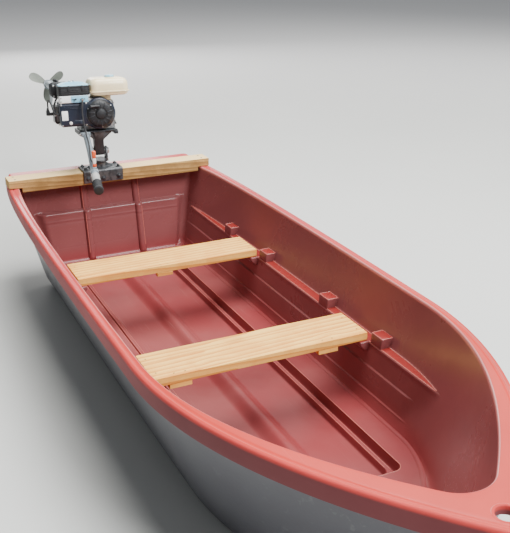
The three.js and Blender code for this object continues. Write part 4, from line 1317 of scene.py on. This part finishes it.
def fan_outline(inset):
    """The cooling housing from the front: the fan's circle and the duct to the cylinder."""
    radius = FAN_RADIUS - inset
    top, bottom, end = 190 - inset, 68 + inset, -196 + inset
    start, stop = (math.degrees(math.acos(
        -math.sqrt(max(0, radius ** 2 - (level - CRANK) ** 2)) / radius)) for level in (top, bottom))
    corner = max(16 - inset, 3)
    return [*arc([lerp(start, -stop, i / 48) for i in range(49)], radius, CRANK_AT),
            *arc(range(270, 179, -15), corner, (end + corner, bottom + corner)),
            *arc(range(180, 89, -15), corner, (end + corner, top - corner))]


def make_fan_housing():
    sections = [(1.2, 8.4), (0, 9.6), (0, 20), (1.2, 21), (1.2, 23), (0, 24), (0, 46)]
    sections += [(14 * (1 - x), 46 + 14 * y) for x, y in arc((18, 36, 54, 72, 90), 1)]
    on_engine(
        "fan_cowl", "dark_blue", "fan_housing", 30,
        (skin, [place_ring(fan_outline(inset), "X", x) for inset, x in sections]),
        (prism, rounded((-128, -84), (78, 102), 6), "X", 58, 62, 1.4),
        *[(prism, rounded((-176, -84), (z, z + 3.2), 1.6), "X", 58, 62.4, 0.8)
          for z in (160, 167, 174)],
        (lathe, [(58, 74), (62.6, 74), (63.6, 73), (63.6, 71.4), (60, 70.4), (58, 70.4)],
         CRANK_LINE, X, 64))
    on_engine("cowl_label", "white_plate", None, 32,
              (prism, rounded((-188, -157), (103, 151), 3), "X", 60.1, 60.9, 0.3))
    on_engine("cowl_button", "white_knob", None, 32,
              (lathe, [(58, 0), (58, 8), (63, 8.4), (65, 7.4), (66, 5), (66, 0)],
               (0, -145, 88), X, 28))


def recoil_rib(turn):
    """A curved rib on the starter's face, from its hub outwards."""
    c, s = polar(turn)
    line = []
    for r, x in ((34, 84.2), (44, 84.6), (55, 82.4), (62, 77.4)):
        aside = (r - 44) * 0.12
        line.append((x, CRANK_Y + r * c - aside * s, CRANK + r * s + aside * c))
    return line


def make_recoil():
    on_engine(
        "recoil_drum", "black_plastic", "recoil_starter", 30,
        (lathe, [(60.4, 0), (60.4, 70), (66, 70), (67.4, 68.6), (76, 64), (82, 58), (84, 52),
                 (84, 32), (82.4, 31), (82.4, 28), (84, 27), (89, 24), (90, 22), (90, 0)],
         CRANK_LINE, X, 64),
        *[(tube, recoil_rib(360 * (i + 0.5) / 14), 2.6, 8, 3) for i in range(14)])
    y, z = CRANK_Y - 30, CRANK + 40
    half = [(12, 7.4), (21, 8.4), (25, 5), (26, 0)]
    on_engine(
        "pull_handle", "black_plastic", "recoil_handle", 32,
        (lathe, [*[(-reach, radius) for reach, radius in reversed(half)], (0, 6.8), *half],
         (94, y, z), Y, 24),
        (rod, (84, y, z), (92, y, z), 5.4, 16, 1))


def make_air_cleaner():
    on_engine(
        "air_box", "black_plastic", "air_cleaner", 30,
        (soft_box, (-50, 62), (-194, -36), (226, 268), 16, 4),
        (soft_box, (-51.5, 63.5), (-195.5, -34.5), (265, 274), 17, 2),
        *[(soft_box, (-51, 63.2), (-195.2, -34.8), (z, z + 2.4), 17, 1) for z in (236, 245, 254)],
        *[(soft_box, (61, 66), (y, y + 12), (248, 276), 1.5, 1.2) for y in (-150, -80)])
    crown = [(0, 274.4), (0, 277), (2, 279.4), (8, 282), (16, 285.4), (22, 288.6), (26, 289.8),
             (32, 290.2)]
    on_engine(
        "air_box_lid", "pale_blue", "air_cleaner_lid", 24,
        (layers, (-46, 58), (-190, -40), crown, lambda inset: max(15 - inset * 0.4, 4)),
        *[(soft_box, (x, x + 5), (-152, -78), (288, 291.6), 2, 1.2) for x in (-14, 6, 26)])
    on_engine(
        "lid_wing_nut", "bright_alloy", None, 32,
        (lathe, [(288, 0), (288, 7), (292, 7), (294, 5.4), (296, 0)], (-30, -115, 0), Z, 20),
        *[(soft_box, (-32, -28), y, (291, 297), 1.8, 1.4) for y in ((-111, -100), (-130, -119))])


def make_control_panel():
    on_engine("control_box", "white_plate", "control_panel", 30,
              (soft_box, (20, 62), (-194, -46), (ENGINE_TOP, 225.6), 6, 2),
              (soft_box, (-191, -49), (193, 223), (61, 63), 4, 0.8, "X"))
    on_engine("control_face", "pale_blue", None, 32,
              (prism, rounded((-136, -48), (191.4, 224.6), 3), "X", 62.6, 64, 0.4))
    shapes = []
    for y, turn in ((-120, 25), (-76, -20)):
        tip = y + 15 * math.sin(math.radians(turn))
        shapes += [(prism, rounded((y - 13, y + 13), (205, 209), 2), "X", 63.4, 65, 0.4),
                   (tube, [(64, y, 207), (70, lerp(y, tip, 0.5), 207), (76, tip, 208)], 2.6, 10, 4),
                   (lathe, [(0, 0), (0, 4), (2, 5), (8, 4.4), (9, 0)], (74, tip, 208), X, 16)]
    on_engine("control_levers", "black_plastic", None, 32, *shapes)


def make_carburettor():
    on_engine(
        "carburettor_body", "cast_alloy", "carburettor", 30,
        (soft_box, (-40, 19), (-150, -96), (199, 225.6), 8, 3),
        (lathe, [(ENGINE_TOP, 0), (ENGINE_TOP, 15), (192, 18), (199, 19), (201, 19), (201, 0)],
         (-10, -123, 0), Z, 32),
        (rod, (-40, -123, 212), (-52, -123, 212), 13, 28, 1),
        (soft_box, (-56, -50), (-146, -100), (198, 224), 6, 1),
        (rod, (6, -96.5, 212), (6, -88, 212), 4, 16, 0.6),
        (rod, (-20, -150, 205), (-20, -157, 205), 5, 6, 0.6))
    on_engine(
        "throttle_linkage", "bright_alloy", None, 32,
        (tube, [(6, -90, 212), (6, -84, 216), (-6, -70, 216), (-22, -52, 204), (-30, -44, 196)],
         1.6, 8, 6),
        (tube, [(2, -88, 206), (4, -74, 200), (16, -56, 196), (18, -30, 198)], 1.4, 8, 6),
        (prism, rounded((-40, -16), (-62, -34), 5), "Z", 190.2, 193.4, 0.6))


TANK_FEET = (-130, -20)
TANK_CAP = (-10, 80)


def make_tank():
    rings = [(30, 213), (22, 213.4), (13, 215.4), (6, 219), (1.6, 225), (0, 232), (-5.4, 232.4),
             (-6, 233.2), (-6, 238), (-5.4, 238.8), (0, 239), (0, 266), (1.2, 277), (4.4, 286.5),
             (10, 294.4), (18, 300), (28, 302.6), (44, 303.7), (64, 304)]
    shapes = [(layers, (-140, 56), (-30, 168), rings, lambda inset: max(34 - inset * 0.5, 8), 8)]
    for x in TANK_FEET:
        shapes += [(soft_box, (x, x + 20), (-10, 80), (ENGINE_TOP, 222), 4, 1.5),
                   (soft_box, (x - 2, x + 22), (150, 177), (229, 232.6), 4, 0.8)]
    on_engine("fuel_tank_shell", "cream", "fuel_tank", 28, *shapes,
              (lathe, [(300, 31), (304.4, 30), (305.6, 27), (305.6, 20), (300, 20)],
               (*TANK_CAP, 0), Z, 48))
    on_engine(
        "tank_cap", "pale_blue", "fuel_cap", 30,
        (lathe, [(305, 0), (305, 23), (306, 24.2), (312, 23.4), (314.6, 21.6), (316.2, 17),
                 (316.4, 8), (315.4, 6), (315.4, 0)], (*TANK_CAP, 0), Z, 48),
        *[(tube, [(*at, z) for z in (306.4, 309, 312)], 1.7, 8, 2)
          for at in arc(range(0, 360, 18), 23.4, TANK_CAP)])
    on_engine(
        "fuel_hose", "rubber", None, 32,
        (rod, (-60, 30, 206), (-60, 30, 214), 7, 20, 1),
        (tube, [(-60, 30, 207), (-60, 6, 204), (-58, -40, 203), (-46, -78, 206), (-38, -98, 208)],
         4, 12, 8))


def make_muffler():
    on_engine(
        "muffler_guard", "black_plastic", "muffler", 30,
        (soft_box, (-162, -64), (-210, -118), (208, 280), 24, 14),
        *[(prism, rounded((-216, -112), (206, 284), 22), "X", x, x + 4.2, 0.9)
          for x in range(-158, -64, 10)],
        *[(prism, rounded((-212, -116), (210, 280), 16), "X", x, x + 5, 1.6) for x in (-168, -63)],
        *[(prism, rounded((y, y + 6), (220, 270), 3), "X", -59.4, -56.8, 0.8)
          for y in range(-198, -124, 13)],
        (rod, (-100, -150, 188.4), (-100, -150, 214), 15, 32, 1),
        (rod, (-100, -150, 188.4), (-100, -150, 192), 21, 6, 1),
        (tube, [(-150, -170, 272), (-150, -170, 284), (-158, -176, 290), (-170, -184, 292)],
         8, 16, 6))


LEAD_ROUTE = [(-68, -240, 150), (-68, -240, 172), (-56, -240, 194), (-26, -237, 202),
              (6, -232, 186), (30, -224, 150), (34, -213, 135), (34, -197, 132)]
BREATHER_ROUTE = [(-10, -188, 92), (-2, -206, 86), (8, -214, 100), (10, -214, 128), (2, -214, 152),
                  (-8, -214, 172), (-14, -206, 196), (-8, -196, 214), (6, -188, 222)]
HOSE_CLIPS = [((10, -214, 124), (10, -214, 129)), ((-13.4, -207, 192), (-14, -206, 197)),
              ((1, -190, 220), (5, -188.5, 221.6))]


def make_ignition():
    on_engine(
        "plug_boot", "rubber", "plug_cap", 32,
        (lathe, [(0, 0), (0, 9), (4, 9.4), (5, 8), (8, 8), (9, 9.2), (12, 9.2), (13, 8), (16, 8),
                 (17, 9), (30, 8.6), (30, 0)], (-68, -214.4, 128), DOWN_Y, 28),
        (lathe, [(0, 0), (1, 8), (4, 10), (22, 10), (26, 9), (27, 7.4), (30, 7.4), (31, 6.6),
                 (36, 6), (40, 4.4), (40, 0)], (-68, -242, 120), Z, 28))
    on_engine(
        "plug_lead", "rubber", "ignition_lead", 32, (tube, LEAD_ROUTE, 4, 12, 8),
        (lathe, [(0, 4), (0, 6), (2, 7), (9, 6.4), (12, 4.6), (12, 4)], (34, -195.6, 132),
         DOWN_Y, 20))
    on_engine("breather_hose", "rubber", None, 32, (tube, BREATHER_ROUTE, 5, 12, 8))
    on_engine("hose_clips", "bright_alloy", None, 32,
              *[(rod, start, end, 6.6, 20, 0.8) for start, end in HOSE_CLIPS])


def make_bell():
    """The bell between the engine and the tail, with its ribs."""
    on_engine(
        "bell", "cast_alloy", "bell_housing", 30,
        (lathe, [(-240, 0), (-240, 28.6), (-238.6, 30), (-226, 30), (-222, 32), (-172, 53),
                 (-166, 57), (-166, 61), (-165, 62), (-151.4, 62), (-150.4, 61), (-150.4, 0)],
         CRANK_LINE, X, 64),
        *[(tube, [(x, *polar(turn, radius, CRANK_AT))
                  for x, radius in ((-222, 31), (-195, 43), (-166, 57))], 3.2, 8, 3)
          for turn in range(30, 360, 60)],
        (soft_box, (-166, -150.4), (CRANK_Y - 14, CRANK_Y + 14), (46, 84), 3, 1.4))


def make_tail():
    """The long tube, its brace, the stern bearing and the fin."""
    on_motor(
        "tail_shaft_tube", "grey_paint", "tail_tube", 30,
        (lathe, [(-1690, 0), (-1690, 20), (-1689, 21), (-1300, 21), (-1299, 21), (-300, 21),
                 (-204, 21), (-202, 23.6), (-182, 23.6), (-180.4, 22.6), (-180.4, 0)],
         TAIL_LINE, X, 48),
        (ring_bead, (-204, *TAIL_AT), 22, 2.2, "X"),
        (rod, (-260, TAIL_Y, TAIL_Z + 20), (-260, TAIL_Y, TAIL_Z + 27), 3, 12, 0.6))
    on_motor("brace_rod", "grey_paint", "tail_brace", 32,
             (rod, (-122, TAIL_Y, TAIL_Z - 56), (-640, TAIL_Y, TAIL_Z - 32), 8, 24, 1))
    on_motor(
        "brace_band", "dark_steel", "brace_clamp", 30,
        (lathe, [(-666, 21.4), (-666, 26), (-665, 27), (-631, 27), (-630, 26), (-630, 21.4),
                 (-666, 21.4)], TAIL_LINE, X, 48),
        *[(soft_box, (-660, -636), (TAIL_Y + low, TAIL_Y + high), (TAIL_Z - 46, TAIL_Z - 24), 3, 1)
          for low, high in ((-12, -8.6), (8.6, 12))])
    on_motor(
        "stern_tube", "grey_paint", "stern_bearing", 30,
        (lathe, [(-1744, 11), (-1744, 22), (-1742, 24), (-1722, 27), (-1700, 29), (-1692, 29),
                 (-1690.4, 28), (-1690.4, 11), (-1744, 11)], TAIL_LINE, X, 48),
        (ring_bead, (-1691, *TAIL_AT), 26, 2.6, "X"),
        *[(rod, (-1712, *polar(turn, 27, TAIL_AT)), (-1712, *polar(turn, 30, TAIL_AT)), 3, 6, 0.4)
          for turn in (45, 135, 225, 315)])
    under = TAIL_Z - 21 - 0.4
    fin = [(-1682, under), (-1500, under), (-1520, under - 8)]
    fin += [(x, TAIL_Z - drop) for x, drop in ((-1560, 62), (-1608, 98), (-1640, 120), (-1656, 124),
                                               (-1670, 122), (-1677, 112))]
    on_motor(
        "tail_fin", "grey_paint", "skeg", 30,
        (prism, fin, "Y", TAIL_Y - 2.5, TAIL_Y + 2.5, 1.4),
        *[(bead, [(x, TAIL_Y + side * 3.4, under - 0.6) for x in (-1676, -1620, -1560, -1512)], 2)
          for side in SIDES])


TILLER = [Vector((60, -58, 80)), Vector((98, -54, 24)), Vector((390, -86, -38))]
TILLER_WAY = (TILLER[2] - TILLER[1]).normalized()
TILLER_END = TILLER[2] + TILLER_WAY * 0.6
GRIP_END = Vector((530, -98, -67))
SLEEVE = 66
LEVER_AT = TILLER[2] + TILLER_WAY * -40
CABLE_ROUTE = [(170, -66, 56), (112, -66, 96), (92, -70, 160), (84, -66, 205), (68, -62, 226)]


def by_lever(*pairs):
    """Pairs of X, Y and Z measured from the throttle lever's foot."""
    return [(place + low, place + high) for place, (low, high) in zip(LEVER_AT, pairs)]


def make_tiller():
    root, turn, end = TILLER
    line = [root.lerp(turn, -0.06), root.lerp(turn, 0.35), root.lerp(turn, 0.8),
            turn + TILLER_WAY * 12, turn + TILLER_WAY * 60, turn.lerp(end, 0.6), end]
    on_motor(
        "tiller_tube", "grey_paint", "tiller_bar", 35, (tube, line, 13, 28, 8),
        (soft_box, (46.4, 72), (-79, -40), (CRADLE_TOP - 18, CRADLE_TOP - 1), 5, 2),
        (ring_bead, (62, -58, CRADLE_TOP - 18.6), 13.6, 2),
        (lathe, [(-11, 13), (-11, 15.4), (-10, 16.4), (10, 16.4), (11, 15.4), (11, 13)],
         LEVER_AT, TILLER_WAY, 36),
        (soft_box, *by_lever((-8, 8), (-7, 10), (4, 21)), 3, 1.4))
    way = GRIP_END - TILLER_END
    length = way.length
    grip = [(SLEEVE, 12), (SLEEVE, 17), (SLEEVE + 1.2, 18.2), (SLEEVE + 5, 18.2),
            (SLEEVE + 6.4, 17)]
    for at in [SLEEVE + 9 + i * 8.2 for i in range(6)]:
        grip += [(at, 16), (at + 1.2, 17.4), (at + 4.6, 17.4), (at + 5.8, 16)]
    grip += [(length - 13, 16.4), (length - 11.6, 18.2), (length - 3, 18), (length - 0.8, 15),
             (length, 10), (length, 0)]
    sleeve = [(0, 13.4), (0, 15.4), (1.4, 17.4), (7, 17.4), (8.6, 16), (SLEEVE - 8, 16.4),
              (SLEEVE - 7, 15.6), (SLEEVE - 5, 15.6), (SLEEVE - 4, 16.6), (SLEEVE + 1, 16.6),
              (SLEEVE + 1, 12)]
    on_motor("hand_grip", "rubber", "tiller_grip", 35, (lathe, grip, TILLER_END, way, 40))
    on_motor("grip_sleeve", "grip_grey", None, 32, (lathe, sleeve, TILLER_END, way, 40))


def make_throttle():
    """The upright throttle lever on the tiller, its sleeve and its cable."""
    on_motor("throttle_trigger", "orange", "throttle_lever", 30,
             (soft_box, *by_lever((-5.4, 5.4), (-2, 8), (21.4, 60)), 3, 2),
             (soft_box, *by_lever((-7.4, 7.4), (-5, 11), (56, 84.4)), 6, 5),
             (soft_box, *by_lever((-7, 7), (-4, 10), (23, 34)), 4, 2))
    on_motor("trigger_sleeve", "white_knob", None, 32,
             (soft_box, *by_lever((-6.6, 6.6), (-3.4, 9.4), (35, 55)), 3.6, 1.2))
    start = [LEVER_AT + Vector(by) for by in ((-7, 3, 27), (-40, 3, 34), (-90, 4, 44))]
    on_motor("throttle_wire", "rubber", "throttle_cable", 32,
             (tube, [*start, *CABLE_ROUTE], 3.5, 12, 10))
    on_motor("cable_ends", "bright_alloy", None, 32,
             *[(rod, at, at + Vector((8, 0, -1.8)), 5.2, 20, 0.8)
               for at in (LEVER_AT + Vector((-18, 3, 29)), Vector((70, -62.6, 224)))])


PROPELLER_X = -1772
PROPELLER_RADIUS = 115
BLADE_TIP = (4, PROPELLER_RADIUS)
LEADING = [(-14, 10), (-44, 40), (-40, PROPELLER_RADIUS), BLADE_TIP]
TRAILING = [(12, 10), (34, 44), (40, PROPELLER_RADIUS), BLADE_TIP]


def blade_ring(t):
    """The section of a twisted blade at a share of its length."""
    front, back = (bezier([Vector(p) for p in edge], t) for edge in (LEADING, TRAILING))
    ring = []
    for across, up in arc(range(0, 360, 18), 1):
        share = 0.5 - 0.5 * across
        flat = front.lerp(back, share)
        thick = 2.9 * (1 - 0.55 * t) * up + 2.4 * math.sin(math.pi * share)
        c, s = polar(58 - 0.3 * flat.y)
        ring.append(Vector((flat.x * s - thick * c, -flat.x * c - thick * s, flat.y)))
    return ring


def blade(bm, turn):
    verts = skin(bm, [blade_ring(min(0.995, 0.02 + step / 18)) for step in range(19)])
    spin = Matrix.Rotation(math.radians(turn), 4, "X")
    bmesh.ops.transform(bm, matrix=Matrix.Translation((PROPELLER_X, *TAIL_AT)) @ spin, verts=verts)


def make_propeller():
    """Three thin twisted blades on a tapered hub."""
    on_shaft(
        "screw_blades", "dull_alloy", "propeller", 40, *[(blade, turn) for turn in (180, 300, 420)],
        (lathe, [(-1802, 0), (-1802, 17), (-1800.6, 18), (-1785, 21), (-1760, 24), (-1750, 24),
                 (-1748, 22.6), (-1748, 10), (-1744.4, 10), (-1744.4, 0)], TAIL_LINE, X, 48))
    on_shaft(
        "screw_nut", "brass", "propeller_nut", 32,
        (lathe, [(-1824, 0), (-1824, 4.6), (-1822, 6.4), (-1812, 8.6), (-1812, 0)],
         TAIL_LINE, X, 28),
        (rod, (-1813, *TAIL_AT), (-1802.4, *TAIL_AT), 14, 6, 1),
        (tube, [(-1816, TAIL_Y, TAIL_Z - 13), (-1816, TAIL_Y, TAIL_Z + 12)], 1.5, 8, 2))


# Places, direction and size of each set of bolts
ENGINE_BOLTS = [
    ([(x, y, ENGINE_FOOT + 15) for x in (-130, -12) for y in (-82, 84)], Z, 12),
    ([(x, CASE_SIDE, z) for x, z in ((-132, 68), (-72, 66), (-12, 68), (-132, 174), (-72, 176),
                                     (-12, 174), (-138, 120), (-6, 120))], Y, 9),
    ([(x, -206, z) for x, z in ((-111, 88), (-25, 88), (-111, 166), (-25, 166))], DOWN_Y, 11),
    ([(-68, -186.5, z) for z in (70, 184)], DOWN_Y, 9),
    ([(53, y, z) for y, z in ((-186, 78), (-186, 180), (-66, 76), (-60, 184))], X, 10),
    ([(66, *at) for at in arc((35, 155, 275), 66, CRANK_AT)], X, 7),
    ([(62.5, -186, z) for z in (199, 217)], X, 6),
    ([(x + 10, 168, 232.6) for x in TANK_FEET], Z, 9),
    ([(-58.4, y, z) for z in (218, 272) for y in (-204, -124)], X, 7),
    ([(-166, *at) for at in arc(range(0, 360, 60), 55, CRANK_AT)], BACK, 9),
]
TAIL_BOLTS = [
    ([(-648, TAIL_Y + 12, TAIL_Z - 38)], Y, 9), ([(-648, TAIL_Y - 12, TAIL_Z - 38)], DOWN_Y, 9),
    ([(60, -79, CRADLE_TOP - 9)], DOWN_Y, 9), ([(60, -58, CRADLE_TOP - 1)], Z, 10),
]


def bolts(sets):
    return [(bolt, at, way, size) for places, way, size in sets for at in places]


def make_motor():
    for make in (make_cradle, make_crankcase, make_cylinder, make_fan_housing, make_recoil,
                 make_air_cleaner, make_control_panel, make_carburettor, make_tank, make_muffler,
                 make_ignition, make_bell, make_tail, make_tiller, make_throttle, make_propeller):
        make()
    on_engine("engine_bolts", "bright_alloy", None, 32, *bolts(ENGINE_BOLTS))
    on_motor("tail_bolts", "bright_alloy", None, 32, *bolts(TAIL_BOLTS))


def make_floor_stage():
    bm = bmesh.new()
    bmesh.ops.create_grid(bm, x_segments=1, y_segments=1, size=30)
    mesh = to_mesh("studio_floor", bm, Matrix())
    mesh.materials.append(floor_material())
    floor = put("studio_floor", mesh)


make_camera()
make_lights()
make_floor_stage()
floor_line = half_plan(FLOOR_LINE)
make_liner(floor_line)
make_floor(floor_line)
make_highlight_lines_and_rim(floor_line)
make_stern_rim()
make_bow_eye()
make_seats()
make_hull()
make_thwarts()
make_transom_beam()
make_mount_bracket()
make_swivel()
make_motor()
